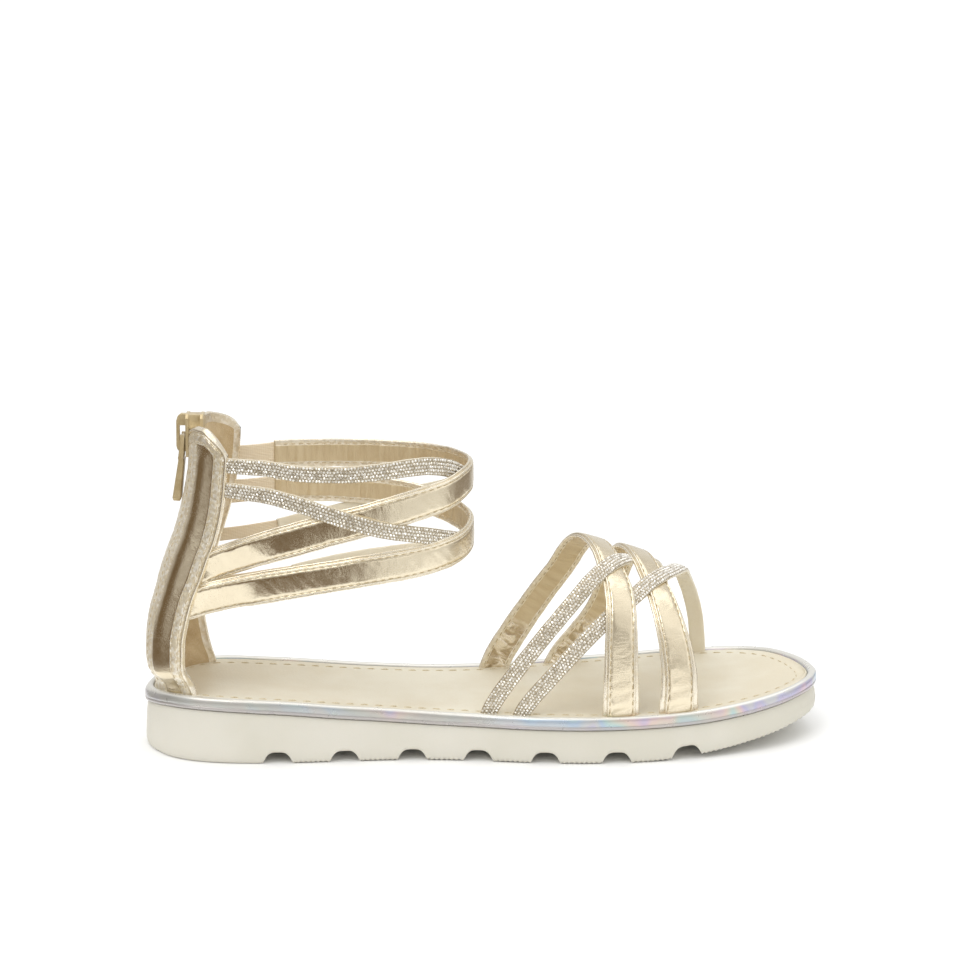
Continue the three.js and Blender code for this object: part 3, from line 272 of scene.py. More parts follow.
# ------------------------------------------------------------------ mesh making
class Build:
    """Collects grids of vertices and turns them into one object."""

    def __init__(self):
        self.v, self.f, self.m, self.a, self.n = [], [], [], [], 0

    def grid(self, p, mat=0, loop_u=False, loop_v=False, data=None):
        a, b = p.shape[:2]
        idx = np.arange(a * b).reshape(a, b) + self.n
        if loop_u:
            idx = np.vstack([idx, idx[:1]])
        if loop_v:
            idx = np.hstack([idx, idx[:, :1]])
        q = np.stack([idx[:-1, :-1], idx[1:, :-1], idx[1:, 1:], idx[:-1, 1:]], -1).reshape(-1, 4)
        self.v.append(p.reshape(-1, 3))
        self.f.extend(q.tolist())
        self.m.extend(np.broadcast_to(np.asarray(mat), (idx.shape[0] - 1, idx.shape[1] - 1)).reshape(-1).tolist())
        self.a.append(np.zeros((a * b, 3)) if data is None else data.reshape(-1, 3))
        self.n += a * b
        return idx

    def face(self, idx, mat=0):
        self.f.append([int(i) for i in idx])
        self.m.append(mat)

    def loose(self, verts, faces, mat=0, data=None):
        verts = np.asarray(verts, float).reshape(-1, 3)
        self.f.extend((np.asarray(faces) + self.n).tolist())
        self.m.extend([mat] * len(faces))
        self.v.append(verts)
        self.a.append(np.zeros_like(verts) if data is None else np.asarray(data, float).reshape(-1, 3))
        self.n += len(verts)

    def object(self, name, mats, body="shoe", weld=0.0, recalc=True, shade=True, slot=None, sharp=None):
        me = bpy.data.meshes.new(name)
        me.from_pydata(place(np.vstack(self.v)).tolist(), [], self.f)
        me.update()
        for m in mats:
            me.materials.append(m)
        me.polygons.foreach_set("material_index", np.array(self.m, np.int32))
        att = me.attributes.new("along", "FLOAT_VECTOR", "POINT")
        att.data.foreach_set("vector", np.vstack(self.a).astype(np.float32).ravel())
        if weld or recalc:
            bm = bmesh.new()
            bm.from_mesh(me)
            if weld:
                bmesh.ops.remove_doubles(bm, verts=bm.verts, dist=weld * 0.001)
                bmesh.ops.dissolve_degenerate(bm, edges=bm.edges, dist=1e-7)
                bmesh.ops.delete(bm, geom=[v for v in bm.verts if not v.link_faces], context="VERTS")
            if recalc:
                bmesh.ops.recalc_face_normals(bm, faces=bm.faces)
            bm.to_mesh(me)
            bm.free()
        me.polygons.foreach_set("use_smooth", [shade] * len(me.polygons))
        if sharp:
            me.set_sharp_from_angle(angle=math.radians(sharp))
        o = bpy.data.objects.new(name, me)
        bpy.context.scene.collection.objects.link(o)
        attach(o, body)
        return o


def stations(pitch):
    """x stations along the sole, closer together at both tips."""
    tips = np.array([0, 0.02, 0.07, 0.15, 0.27, 0.42, 0.62, 0.87, 1.2, 1.6, 2.05, 2.5])
    a, b = RING[:, 0].min(), RING[:, 0].max()
    mid = np.linspace(a + 3, b - 3, int((b - a - 6) / pitch))
    return np.r_[a + tips, mid, b - tips[::-1]]


def slab(build, levels, xs, across_low, across_high, low_z=None, high_z=None, mat=0, mat_low=None, mat_high=None):
    """A closed body from outline levels (inset, z of x), bottom to top, with gridded caps between the near and far edges."""
    a0, b0 = xs[0], xs[-1]
    rows = []
    for d, z in levels:
        lo, hi, near, far = sides(d)
        x = xs + (lo - a0) * (1 - step(a0, a0 + 10, xs)) + (hi - b0) * step(b0 - 10, b0, xs)
        n, f = near(x), far(x)
        n[0] = f[0] = (n[0] + f[0]) / 2
        n[-1] = f[-1] = (n[-1] + f[-1]) / 2
        zz = z(x)
        rows.append((np.stack([x, n, zz], 1), np.stack([x, f, zz], 1)))
    build.grid(np.stack([r[0] for r in rows], 0), mat)
    build.grid(np.stack([r[1] for r in rows], 0), mat)
    for (n, f), across, zfun, m in ((rows[0], across_low, low_z, mat_low), (rows[-1], across_high, high_z, mat_high)):
        t = np.linspace(0, 1, across + 2)[None, :, None]
        g = n[:, None, :] * (1 - t) + f[:, None, :] * t
        if zfun is not None:
            g[:, 1:-1, 2] = zfun(g[:, 1:-1, 0], np.broadcast_to(t[0, 1:-1, 0], g[:, 1:-1, 0].shape), g[:, 1:-1, 2])
        build.grid(g, mat if m is None else m)


def tube(build, path, radius, sides_n=6, mat=0, caps=True):
    """A round thread along a path; radius may vary."""
    path = np.asarray(path, float)
    t = unit(np.gradient(path, axis=0))
    ref = np.array([0, 0, 1.0]) if abs(t[0, 2]) < 0.9 else np.array([1.0, 0, 0])
    b = unit(np.cross(t, ref))
    n = np.cross(b, t)
    ang = np.arange(sides_n) / sides_n * TAU
    r = np.broadcast_to(np.asarray(radius, float), (len(path),))[:, None, None]
    ring = path[:, None, :] + r * (np.cos(ang)[None, :, None] * b[:, None, :] + np.sin(ang)[None, :, None] * n[:, None, :])
    idx = build.grid(ring, mat, loop_v=True)
    if caps:
        build.face(idx[0, :-1][::-1], mat)
        build.face(idx[-1, :-1], mat)


STITCH_S = np.array([-0.5, -0.3, 0.0, 0.3, 0.5])
STITCH_R = np.array([0.55, 0.95, 1.0, 0.95, 0.55])
STITCH_H = np.array([-1.1, 0.0, 0.25, 0.0, -1.1])


def stitches(build, centre, along, up, length, radius=0.19, mat=0):
    """One short thread at each centre, lying along `along` and dipping in at both ends."""
    centre, along, up = (np.asarray(v, float).reshape(-1, 3) for v in (centre, along, up))
    side = unit(np.cross(along, up))
    ang = np.arange(6) / 6 * TAU
    ln = np.broadcast_to(np.asarray(length, float), (len(centre),))
    for c, t, u, s, l in zip(centre, along, up, side, ln):
        ring = (
            c
            + (STITCH_S * l)[:, None, None] * t
            + (STITCH_H * radius)[:, None, None] * u
            + (STITCH_R * radius)[:, None, None] * (np.cos(ang)[None, :, None] * s + np.sin(ang)[None, :, None] * u)
        )
        idx = build.grid(ring, mat, loop_v=True)
        build.face(idx[0, :-1][::-1], mat)
        build.face(idx[-1, :-1], mat)


# ------------------------------------------------------------------ materials
class Nodes:
    def __init__(self, name):
        self.m = bpy.data.materials.new(name)
        self.m.use_nodes = True
        self.t = self.m.node_tree
        self.t.nodes.clear()
        self.out = self.t.nodes.new("ShaderNodeOutputMaterial")

    def add(self, kind, **props):
        n = self.t.nodes.new(kind)
        for k, v in props.items():
            setattr(n, k, v)
        return n

    def link(self, a, b):
        self.t.links.new(a, b)

    def put(self, socket, value):
        if isinstance(value, bpy.types.NodeSocket):
            self.link(value, socket)
        else:
            socket.default_value = value

    def coords(self, scale=1.0, stretch=(1, 1, 1)):
        """Object coordinates in millimetres."""
        tc = self.add("ShaderNodeTexCoord")
        mp = self.add("ShaderNodeMapping")
        self.link(tc.outputs["Object"], mp.inputs["Vector"])
        mp.inputs["Scale"].default_value = [1000 * scale * s for s in stretch]
        return mp.outputs["Vector"]

    def along(self, stretch=(1, 1, 1)):
        """Length along, place across and depth of a strap, in millimetres."""
        at = self.add("ShaderNodeAttribute", attribute_name="along")
        mp = self.add("ShaderNodeMapping")
        self.link(at.outputs["Vector"], mp.inputs["Vector"])
        mp.inputs["Scale"].default_value = list(stretch)
        return mp.outputs["Vector"]

    def noise(self, vec, scale, detail=3.0, rough=0.55, distortion=0.0):
        n = self.add("ShaderNodeTexNoise")
        self.link(vec, n.inputs["Vector"])
        n.inputs["Scale"].default_value = scale
        n.inputs["Detail"].default_value = detail
        n.inputs["Roughness"].default_value = rough
        n.inputs["Distortion"].default_value = distortion
        return n.outputs["Fac"]

    def cells(self, vec, scale, feature="F1", out="Distance", randomness=1.0):
        n = self.add("ShaderNodeTexVoronoi", feature=feature)
        self.link(vec, n.inputs["Vector"])
        n.inputs["Scale"].default_value = scale
        n.inputs["Randomness"].default_value = randomness
        return n.outputs[out]

    def math(self, op, a, b=None, c=None):
        n = self.add("ShaderNodeMath", operation=op)
        for i, v in enumerate((a, b, c)):
            if v is not None:
                self.put(n.inputs[i], v)
        return n.outputs[0]

    def rng(self, v, a, b, c=0.0, d=1.0, kind="SMOOTHSTEP"):
        n = self.add("ShaderNodeMapRange", interpolation_type=kind)
        self.put(n.inputs["Value"], v)
        n.inputs["From Min"].default_value, n.inputs["From Max"].default_value = a, b
        n.inputs["To Min"].default_value, n.inputs["To Max"].default_value = c, d
        return n.outputs["Result"]

    def ramp(self, fac, stops, kind="LINEAR"):
        n = self.add("ShaderNodeValToRGB")
        n.color_ramp.interpolation = kind
        e = n.color_ramp.elements
        full = [(pos, (*col, 1) if len(col) == 3 else col) for pos, col in stops]
        e[0].position, e[0].color = full[0]
        e[1].position, e[1].color = full[-1]
        for pos, col in full[1:-1]:
            e.new(pos).color = col
        self.put(n.inputs["Fac"], fac)
        return n.outputs["Color"]

    def mix(self, fac, a, b, blend="MIX"):
        n = self.add("ShaderNodeMix", data_type="RGBA", blend_type=blend)
        self.put(n.inputs[0], fac)
        for s, v in ((n.inputs[6], a), (n.inputs[7], b)):
            self.put(s, (*v, 1) if isinstance(v, tuple) and len(v) == 3 else v)
        return n.outputs[2]

    def bump(self, height, distance, strength=1.0, normal=None):
        n = self.add("ShaderNodeBump")
        n.inputs["Strength"].default_value = strength
        n.inputs["Distance"].default_value = distance * 0.001
        self.link(height, n.inputs["Height"])
        if normal is not None:
            self.link(normal, n.inputs["Normal"])
        return n.outputs["Normal"]

    def shader(self, **inputs):
        p = self.add("ShaderNodeBsdfPrincipled")
        for k, v in inputs.items():
            name = k.replace("_", " ")
            if isinstance(v, tuple) and len(v) == 3 and len(p.inputs[name].default_value) == 4:
                v = (*v, 1)
            self.put(p.inputs[name], v)
        self.link(p.outputs[0], self.out.inputs[0])
        return self.m


def lin(r, g, b):
    """sRGB 0-255 to linear."""
    return tuple((c / 255 / 12.92) if c <= 10 else ((c / 255 + 0.055) / 1.055) ** 2.4 for c in (r, g, b))


GOLD = (0.87, 0.775, 0.59)
GOLD_DEEP = (0.72, 0.62, 0.45)


def gold_foil(name, crinkle=1.0, rough=0.225, deep=0.3):
    """Metallic gold film on leather: fine creases across the strap, pebble grain and a thin clear top."""
    n = Nodes(name)
    v = n.coords()
    a = n.along((1.0, 0.28, 0.0)) if name == "gold_foil" else n.coords(0.6)
    grain = n.cells(v, 1.55, "F1", "Distance")
    fine = n.noise(v, 2.6, 5.0, 0.62)
    crease = n.noise(a, 0.9, 4.0, 0.62, 0.6)
    broad = n.noise(v, 0.16, 2.0, 0.5)
    patch = n.rng(n.noise(v, 0.09, 1.0, 0.5), 0.42, 0.62)
    crease_on = n.math("MULTIPLY", n.rng(crease, 0.35, 0.7), n.math("MULTIPLY_ADD", patch, 0.8, 0.2))
    col = n.mix(n.rng(broad, 0.35, 0.7), GOLD, tuple(x * (1 - deep) + y * deep for x, y in zip(GOLD, GOLD_DEEP)))
    col = n.mix(n.math("MULTIPLY", n.rng(fine, 0.35, 0.7), 0.18), col, GOLD_DEEP)
    r = n.math("ADD", n.rng(fine, 0.3, 0.75, rough - 0.04, rough + 0.05), n.math("MULTIPLY", patch, 0.03))
    b1 = n.bump(crease_on, 0.06 * crinkle, 0.7)
    b2 = n.bump(fine, 0.02, 0.7, b1)
    b3 = n.bump(n.math("SUBTRACT", 1.0, grain), 0.014, 0.6, b2)
    return n.shader(Base_Color=col, Metallic=1.0, Roughness=r, Normal=b3, Coat_Weight=0.15, Coat_Roughness=0.1, Coat_IOR=1.5)


def gold_edge(name):
    """The folded edge of the film: smoother and paler, rubbed a little."""
    n = Nodes(name)
    v = n.coords()
    rub = n.rng(n.noise(v, 0.5, 3.0, 0.6), 0.4, 0.7)
    col = n.mix(rub, (0.89, 0.82, 0.68), (0.81, 0.72, 0.55))
    b = n.bump(n.noise(v, 1.8, 4.0, 0.6), 0.03, 0.7)
    return n.shader(Base_Color=col, Metallic=0.92, Roughness=n.rng(rub, 0, 1, 0.24, 0.36), Normal=b, Coat_Weight=0.3, Coat_Roughness=0.15)


def glitter(name, base, painted_glint, scale=2.2, metal=0.85, depth=0.28):
    """Crumpled glittering film: tiny tilted flakes, some painted brighter as glints, with painted shade in the low
    folds.
    """
    n = Nodes(name)
    v = n.coords()
    cell = n.cells(v, scale, "F1", "Color")
    sep = n.add("ShaderNodeSeparateColor")
    n.link(cell, sep.inputs[0])
    fold = n.noise(v, 0.75, 5.0, 0.65, 0.8)
    # painted glint: each flake is mixed by a random amount toward the bright glint colour
    col = n.mix(n.rng(sep.outputs[0], 0.35, 0.9), base, painted_glint)
    # painted shade: up to a quarter darker where the folds of the bump are low
    col = n.mix(n.rng(fold, 0.3, 0.6, 0.25, 0.0), col, tuple(c * 0.6 for c in base))
    h = n.math("ADD", n.math("MULTIPLY", sep.outputs[1], 0.5), fold)
    b = n.bump(h, depth, 0.9)
    return n.shader(Base_Color=col, Metallic=metal, Roughness=n.rng(sep.outputs[2], 0, 1, 0.28, 0.5), Normal=b)


def lining(name):
    """Tan lining of the gold straps, wrinkled across, with a soft metallic sheen; near the feet crumpled gold foil with
    painted shade in its hollows and painted highlight on its tops.
    """
    n = Nodes(name)
    v = n.coords()
    a = n.along((1.0, 0.16, 0.0))
    wr = n.noise(a, 0.55, 4.0, 0.6, 0.3)
    fine = n.noise(v, 3.0, 4.0, 0.6)
    col = n.mix(n.rng(wr, 0.3, 0.75), lin(220, 204, 172), lin(204, 184, 148))
    col = n.mix(n.math("MULTIPLY", n.rng(fine, 0.4, 0.7), 0.25), col, lin(226, 212, 182))
    sep = n.add("ShaderNodeSeparateXYZ")
    n.link(n.along(), sep.inputs[0])
    crumple = n.noise(n.along((0.34, 0.2, 0.0)), 1.0, 2.5, 0.5, 0.7)
    foot = n.rng(n.math("ADD", sep.outputs[2], n.math("MULTIPLY", crumple, 0.5)), 0.45, 0.85)
    # near the feet: gold foil with painted shade where the crumple of the bump is low and painted highlight where it is
    # high
    col = n.mix(foot, col, n.mix(n.rng(crumple, 0.42, 0.58), (0.52, 0.42, 0.28), (0.90, 0.82, 0.68)))
    b1 = n.bump(n.rng(wr, 0.3, 0.75), 0.22, 0.7)
    b2 = n.bump(fine, 0.05, 0.6, b1)
    b3 = n.bump(n.math("MULTIPLY", crumple, foot), 1.4, 1.0, b2)
    return n.shader(Base_Color=col, Metallic=n.rng(foot, 0, 1, 0.6, 0.95), Roughness=n.rng(foot, 0, 1, 0.38, 0.25), Normal=b3)


def cream_leather(name, base=(229, 220, 198), warm=(219, 205, 176), rough=0.5):
    """Footbed: smooth cream synthetic leather with a fine pore grain and slight warm shading."""
    n = Nodes(name)
    v = n.coords()
    pores = n.cells(v, 1.3, "F1", "Distance")
    fine = n.noise(v, 2.2, 5.0, 0.6)
    broad = n.noise(v, 0.035, 3.0, 0.55)
    col = n.mix(n.rng(broad, 0.36, 0.66), lin(*base), lin(*warm))
    col = n.mix(n.math("MULTIPLY", n.rng(fine, 0.45, 0.75), 0.16), col, lin(206, 190, 158))
    b1 = n.bump(n.noise(v, 0.12, 2.0, 0.5), 0.25, 0.35)
    b2 = n.bump(n.math("SUBTRACT", 1.0, pores), 0.05, 0.55, b1)
    b3 = n.bump(fine, 0.03, 0.5, b2)
    return n.shader(Base_Color=col, Roughness=n.rng(fine, 0.3, 0.7, rough - 0.05, rough + 0.08), Normal=b3, Specular_IOR_Level=0.42,
                    Coat_Weight=0.06, Coat_Roughness=0.3)


def sole_rubber(name):
    """Off-white moulded sole: satin wall, faint flow marks, a trace of grey low down."""
    n = Nodes(name)
    v = n.coords()
    fine = n.noise(v, 1.7, 5.0, 0.62)
    broad = n.noise(v, 0.03, 3.0, 0.5)
    z = n.add("ShaderNodeSeparateXYZ")
    n.link(v, z.inputs[0])
    low = n.rng(z.outputs[2], 0.0, 5.0, 1.0, 0.0)
    col = n.mix(n.rng(broad, 0.35, 0.65), lin(214, 210, 198), lin(208, 204, 190))
    col = n.mix(n.math("MULTIPLY", low, 0.3), col, lin(206, 202, 190))
    col = n.mix(n.math("MULTIPLY", n.rng(fine, 0.5, 0.8), 0.12), col, lin(196, 190, 176))
    b = n.bump(fine, 0.035, 0.7)
    return n.shader(Base_Color=col, Roughness=n.rng(fine, 0.3, 0.7, 0.42, 0.54), Normal=b, Specular_IOR_Level=0.45,
                    Subsurface_Weight=0.08, Subsurface_Radius=(0.002, 0.0017, 0.0012), Subsurface_Scale=0.6)


def holo_film(name):
    """Silver holographic band: pearly patches of blue, lilac, green and pink that run along it, a painted highlight
    along its top and greyer below the groove.
    """
    n = Nodes(name)
    v = n.coords()
    sep = n.add("ShaderNodeSeparateXYZ")
    n.link(v, sep.inputs[0])
    drift = n.noise(n.coords(1, (1, 1, 0.6)), 0.055, 2.0, 0.5, 0.6)
    run = n.math("ADD", n.math("MULTIPLY", sep.outputs[0], 0.011), n.math("MULTIPLY", drift, 2.4))
    hue = n.math("MULTIPLY_ADD", n.math("FRACT", n.math("ADD", run, n.math("MULTIPLY", sep.outputs[2], 0.05))), 0.96, 0.02)
    rainbow = n.ramp(hue, [
        (0.0, lin(200, 198, 200)), (0.14, lin(190, 198, 206)), (0.28, lin(172, 194, 218)), (0.38, lin(180, 208, 206)),
        (0.5, lin(206, 206, 192)), (0.62, lin(222, 198, 186)), (0.76, lin(208, 184, 204)), (0.88, lin(182, 180, 212)),
        (1.0, lin(200, 198, 200)),
    ])
    amount = n.rng(n.noise(v, 0.03, 2.0, 0.5), 0.44, 0.62, 0.06, 0.8)
    col = n.mix(amount, lin(184, 183, 178), rainbow)
    depth = n.add("ShaderNodeSeparateXYZ")
    n.link(n.along(), depth.inputs[0])
    # painted highlight: the top of the band, from 0.75 mm down, fades up to near-white silver
    col = n.mix(n.rng(depth.outputs[1], -0.75, -0.15), col, lin(226, 225, 219))
    # greyer below the groove, from about 2.6 mm down
    col = n.mix(n.rng(depth.outputs[1], -2.85, -2.6, 0.75, 0.0), col, lin(184, 178, 176))
    fine = n.noise(v, 0.3, 2.0, 0.5)
    return n.shader(Base_Color=col, Metallic=0.5, Roughness=n.rng(fine, 0.3, 0.7, 0.27, 0.34), Coat_Weight=0.35, Coat_Roughness=0.08)


def stone(name):
    """Clear cut stones over foil; each one a little different."""
    n = Nodes(name)
    at = n.add("ShaderNodeAttribute", attribute_name="along")
    sep = n.add("ShaderNodeSeparateXYZ")
    n.link(at.outputs["Vector"], sep.inputs[0])
    col = n.ramp(sep.outputs[0], [
        (0.0, (0.58, 0.53, 0.45)), (0.2, (0.79, 0.74, 0.65)), (0.5, (0.90, 0.87, 0.80)), (0.8, (0.95, 0.92, 0.86)), (1.0, (1, 0.98, 0.94)),
    ])
    return n.shader(Base_Color=col, Metallic=0.62, Roughness=n.rng(sep.outputs[1], 0, 1, 0.04, 0.18), Coat_Weight=0.7, Coat_Roughness=0.03)


def stone_bed(name):
    """The silver mesh that holds the stones, with painted shade in the low borders of its cells."""
    n = Nodes(name)
    v = n.coords()
    c = n.cells(v, 1.9, "F1", "Distance")
    # painted shade: darker towards the cell borders, where the bump is low
    col = n.mix(n.rng(c, 0.1, 0.55), lin(214, 206, 188), lin(170, 157, 132))
    b = n.bump(n.math("SUBTRACT", 1.0, c), 0.15, 0.8)
    return n.shader(Base_Color=col, Metallic=0.55, Roughness=0.38, Normal=b)


def thread(name, colour=(206, 189, 152), dark=(168, 147, 108)):
    n = Nodes(name)
    v = n.coords()
    twist = n.noise(v, 4.0, 2.0, 0.5)
    col = n.mix(n.rng(twist, 0.35, 0.65), lin(*colour), lin(*dark))
    return n.shader(Base_Color=col, Roughness=n.rng(twist, 0.3, 0.7, 0.45, 0.62), Normal=n.bump(twist, 0.06, 0.8), Sheen_Weight=0.3)


def elastic_cloth(name):
    n = Nodes(name)
    v = n.coords()
    a = n.along((1, 1, 1))
    sep = n.add("ShaderNodeSeparateXYZ")
    n.link(a, sep.inputs[0])
    knit = n.math("SINE", n.math("MULTIPLY", sep.outputs[0], 9.0))
    cross = n.math("SINE", n.math("MULTIPLY", sep.outputs[1], 14.0))
    h = n.math("ADD", n.math("MULTIPLY", knit, 0.1), n.math("MULTIPLY", cross, 0.4))
    fuzz = n.noise(v, 3.0, 4.0, 0.7)
    # painted shade and highlight: the grooves of the knit darker and its ribs lighter, by the same height h as the bump
    col = n.mix(n.rng(h, -0.6, 0.6), lin(222, 204, 172), lin(242, 229, 205))
    col = n.mix(n.math("MULTIPLY", fuzz, 0.25), col, lin(228, 204, 174))
    b = n.bump(n.math("ADD", h, n.math("MULTIPLY", fuzz, 0.6)), 0.1, 0.8)
    return n.shader(Base_Color=col, Roughness=n.rng(fuzz, 0.3, 0.7, 0.74, 0.9), Normal=b, Sheen_Weight=0.35, Sheen_Roughness=0.5)


def zip_cloth(name):
    n = Nodes(name)
    v = n.coords()
    w = n.add("ShaderNodeTexWave", wave_type="BANDS", bands_direction="Z")
    n.link(v, w.inputs["Vector"])
    w.inputs["Scale"].default_value = 0.55
    w.inputs["Distortion"].default_value = 1.2
    fuzz = n.noise(v, 3.2, 4.0, 0.7)
    # painted shade and highlight: the low bands of the weave darker and its high bands lighter, by the same wave as the
    # bump
    col = n.mix(w.outputs["Fac"], lin(206, 184, 142), lin(228, 210, 174))
    b = n.bump(n.math("ADD", w.outputs["Fac"], n.math("MULTIPLY", fuzz, 0.5)), 0.1, 0.8)
    return n.shader(Base_Color=col, Roughness=n.rng(fuzz, 0.3, 0.7, 0.7, 0.88), Normal=b, Sheen_Weight=0.25)


def nylon(name):
    n = Nodes(name)
    v = n.coords()
    f = n.noise(v, 1.2, 3.0, 0.5)
    col = n.mix(n.rng(f, 0.35, 0.65), lin(222, 204, 164), lin(208, 186, 142))
    return n.shader(Base_Color=col, Roughness=n.rng(f, 0.3, 0.7, 0.3, 0.42), Normal=n.bump(f, 0.03, 0.5))


def zip_metal(name):
    """Painted pale gold slider: satin with a little orange peel and rubbed edges."""
    n = Nodes(name)
    v = n.coords()
    f = n.noise(v, 1.5, 4.0, 0.6)
    rub = n.rng(n.noise(v, 0.4, 3.0, 0.6), 0.45, 0.7)
    col = n.mix(rub, lin(206, 187, 146), lin(192, 171, 128))
    return n.shader(Base_Color=col, Metallic=0.45, Roughness=n.rng(f, 0.3, 0.7, 0.3, 0.44), Normal=n.bump(f, 0.03, 0.6), Coat_Weight=0.4,
                    Coat_Roughness=0.18)


def suede(name):
    """Inside of the heel panels: tan cloth with a glittering nap, its glints painted as near-white dots."""
    n = Nodes(name)
    v = n.coords()
    nap = n.noise(v, 2.4, 6.0, 0.72)
    # painted glints: near-white dots at the cell centres
    painted_glint = n.rng(n.cells(v, 2.6, "F1", "Distance"), 0.05, 0.16, 1.0, 0.0)
    broad = n.noise(v, 0.12, 2.0, 0.5)
    col = n.mix(n.rng(broad, 0.35, 0.65), lin(208, 186, 146), lin(190, 164, 122))
    col = n.mix(n.math("MULTIPLY", n.rng(nap, 0.4, 0.7), 0.5), col, lin(228, 212, 180))
    col = n.mix(n.math("MULTIPLY", painted_glint, 0.6), col, lin(250, 242, 222))
    b = n.bump(nap, 0.22, 0.85)
    return n.shader(Base_Color=col, Metallic=0.25, Roughness=n.rng(nap, 0.3, 0.7, 0.5, 0.72), Normal=b, Sheen_Weight=0.2)


M_FOIL = gold_foil("gold_foil")
M_PANEL = gold_foil("gold_panel", 1.1, 0.22, 0.4)
M_EDGE = gold_edge("gold_edge")
M_STRIP = glitter("gold_glitter", (0.86, 0.77, 0.59), (1.0, 0.95, 0.84), 1.5, 0.6, 0.2)
M_BAND = glitter("gold_band", (0.84, 0.75, 0.57), (1.0, 0.95, 0.84), 1.3, 0.75, 0.2)
M_FOLD = glitter("gold_turned_edge", (0.84, 0.76, 0.61), (0.93, 0.87, 0.76), 1.3, 0.9, 0.05)
M_LINING = lining("tan_lining")
M_CREAM = cream_leather("cream_backing", (232, 225, 206), (222, 210, 184), 0.5)
M_INSOLE = cream_leather("insole_cream", (223, 217, 199), (215, 206, 184))
M_SOLE = sole_rubber("sole_rubber_white")
M_RAND = holo_film("holographic_film")
M_STONE = stone("clear_stone")
M_BED = stone_bed("stone_bed")
M_THREAD = thread("gold_thread")
M_THREAD_CREAM = thread("cream_thread", (222, 210, 180), (186, 168, 130))
M_ELASTIC = elastic_cloth("elastic_beige")
M_TAPE = zip_cloth("zip_cloth")
M_NYLON = nylon("zip_nylon")
M_METAL = zip_metal("slider_metal")
M_SUEDE = suede("quarter_lining")

# ------------------------------------------------------------------ outsole


def channel(x):
    """How far the tread is hollowed at x by the cross channels."""
    prof = ([0, 1.0, 1.7, 2.3, 3.0, 3.6, 4.1, 4.5, 4.75, 5.0], [3.4, 3.38, 3.3, 3.1, 2.6, 1.87, 0.95, 0.28, 0.07, 0])
    d = np.zeros_like(np.asarray(x, float))
    for c in CHANNELS_X:
        lift = 0.2 if c > SPRING_START else 0.0
        d = np.maximum(d, np.interp(np.abs(x - c), *prof) + np.where(np.abs(x - c) < 4.5, lift, 0))
    return d


def ridges(x):
    """Fine cross ridges of the lugs and of the toe, in from the channels."""
    x = np.asarray(x, float)
    return 0.38 * np.abs(((x / 1.5) % 1.0) * 2 - 1) * step(-58, -54, x) * (channel(x) < 0.05)


def tread(x):
    """Lowest face of the sole at x: toe spring, channels and fine ridges."""
    x = np.asarray(x, float)
    return spring(x) + channel(x) + ridges(x)


def upper_edge(x):
    return top_z(x) - RAND_HEIGHT - GAP


build = Build()
slab(
    build,
    [
        (1.6, tread),
        (1.0, lambda x: tread(x) + 0.1),
        (0.6, lambda x: np.maximum(spring(x) + 0.36, spring(x) + channel(x) + 0.2) + 0.95 * ridges(x)),
        (0.34, lambda x: np.maximum(spring(x) + 0.8, spring(x) + channel(x) + 0.45) + 0.8 * ridges(x)),
        (0.2, lambda x: np.maximum(spring(x) + 1.5, spring(x) + channel(x) + 0.8) + 0.3 * ridges(x)),
        (0.15, lambda x: np.maximum(spring(x) + 2.4, spring(x) + channel(x) + 1.1)),
        (0.15, lambda x: np.maximum(spring(x) + 3.4, spring(x) + channel(x) + 1.4)),
        (0.2, lambda x: np.maximum(spring(x) * 0.8 + 4.8, spring(x) + channel(x) + 1.9)),
        (0.42, lambda x: upper_edge(x) - (upper_edge(x) - spring(x) * 0.8 - 4.8) * 0.5),
        (0.72, lambda x: upper_edge(x) - 1.3),
        (0.86, lambda x: upper_edge(x) - 0.45),
        (1.0, lambda x: upper_edge(x) - 0.1),
        (1.5, upper_edge),
    ],
    stations(0.3),
    10,
    3,
    low_z=lambda x, t, z: tread(x),
)
outsole = build.object("outsole_look", [M_SOLE], weld=0.004, slot="sole_rubber", sharp=40)
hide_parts("outsole")

# ------------------------------------------------------------------ rand
SECTION = [
    (0.8, -3.9), (0.4, -3.86), (0.12, -3.66), (0.0, -3.3), (-0.02, -2.95), (0.06, -2.8), (0.16, -2.72), (0.04, -2.62), (-0.04, -2.45), (-0.04, -2.0), (0.0, -1.45), (0.06, -1.0), (0.22, -0.6),
    (0.5, -0.28), (0.85, -0.08), (1.25, 0.0), (1.7, -0.02), (2.1, -0.14), (2.45, -0.36), (2.7, -0.66), (2.8, -1.0), (2.8, -2.2), (2.8, -3.9),
]
pick = np.arange(0, 1800, 4)
length = np.r_[0, np.cumsum(np.linalg.norm(np.diff(RING[pick], axis=0), axis=1))]
ring = np.zeros((len(pick), len(SECTION), 3))
for j, (d, h) in enumerate(SECTION):
    p = RING[pick] + RING_IN[pick] * d
    wob = 0.05 * wave(5, (17, 31, 9), length) * (1 if j < 20 else 0)
    ring[:, j, 0], ring[:, j, 1], ring[:, j, 2] = p[:, 0], p[:, 1], top_z(p[:, 0]) + h + wob * 0.5
build = Build()
build.grid(ring, 0, loop_u=True, loop_v=True, data=np.stack([np.repeat(length[:, None], len(SECTION), 1), np.repeat(np.array([[h for _, h in SECTION]]), len(length), 0), np.zeros((len(length), len(SECTION)))], -1))
rand = build.object("rand_look", [M_RAND], slot="rand_film")
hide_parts("rand")

# ------------------------------------------------------------------ insole
dish_depth = smooth([(-104, HEEL_DISH), (-75, HEEL_DISH), (-35, 0.6), (10, 0.4), (50, FORE_DISH), (106, FORE_DISH)])
EDGE = RAND_WIDTH + 0.06


def footbed(x, t, z):
    return z - dish_depth(x) * (1 - np.abs(2 * t - 1) ** 2.2)


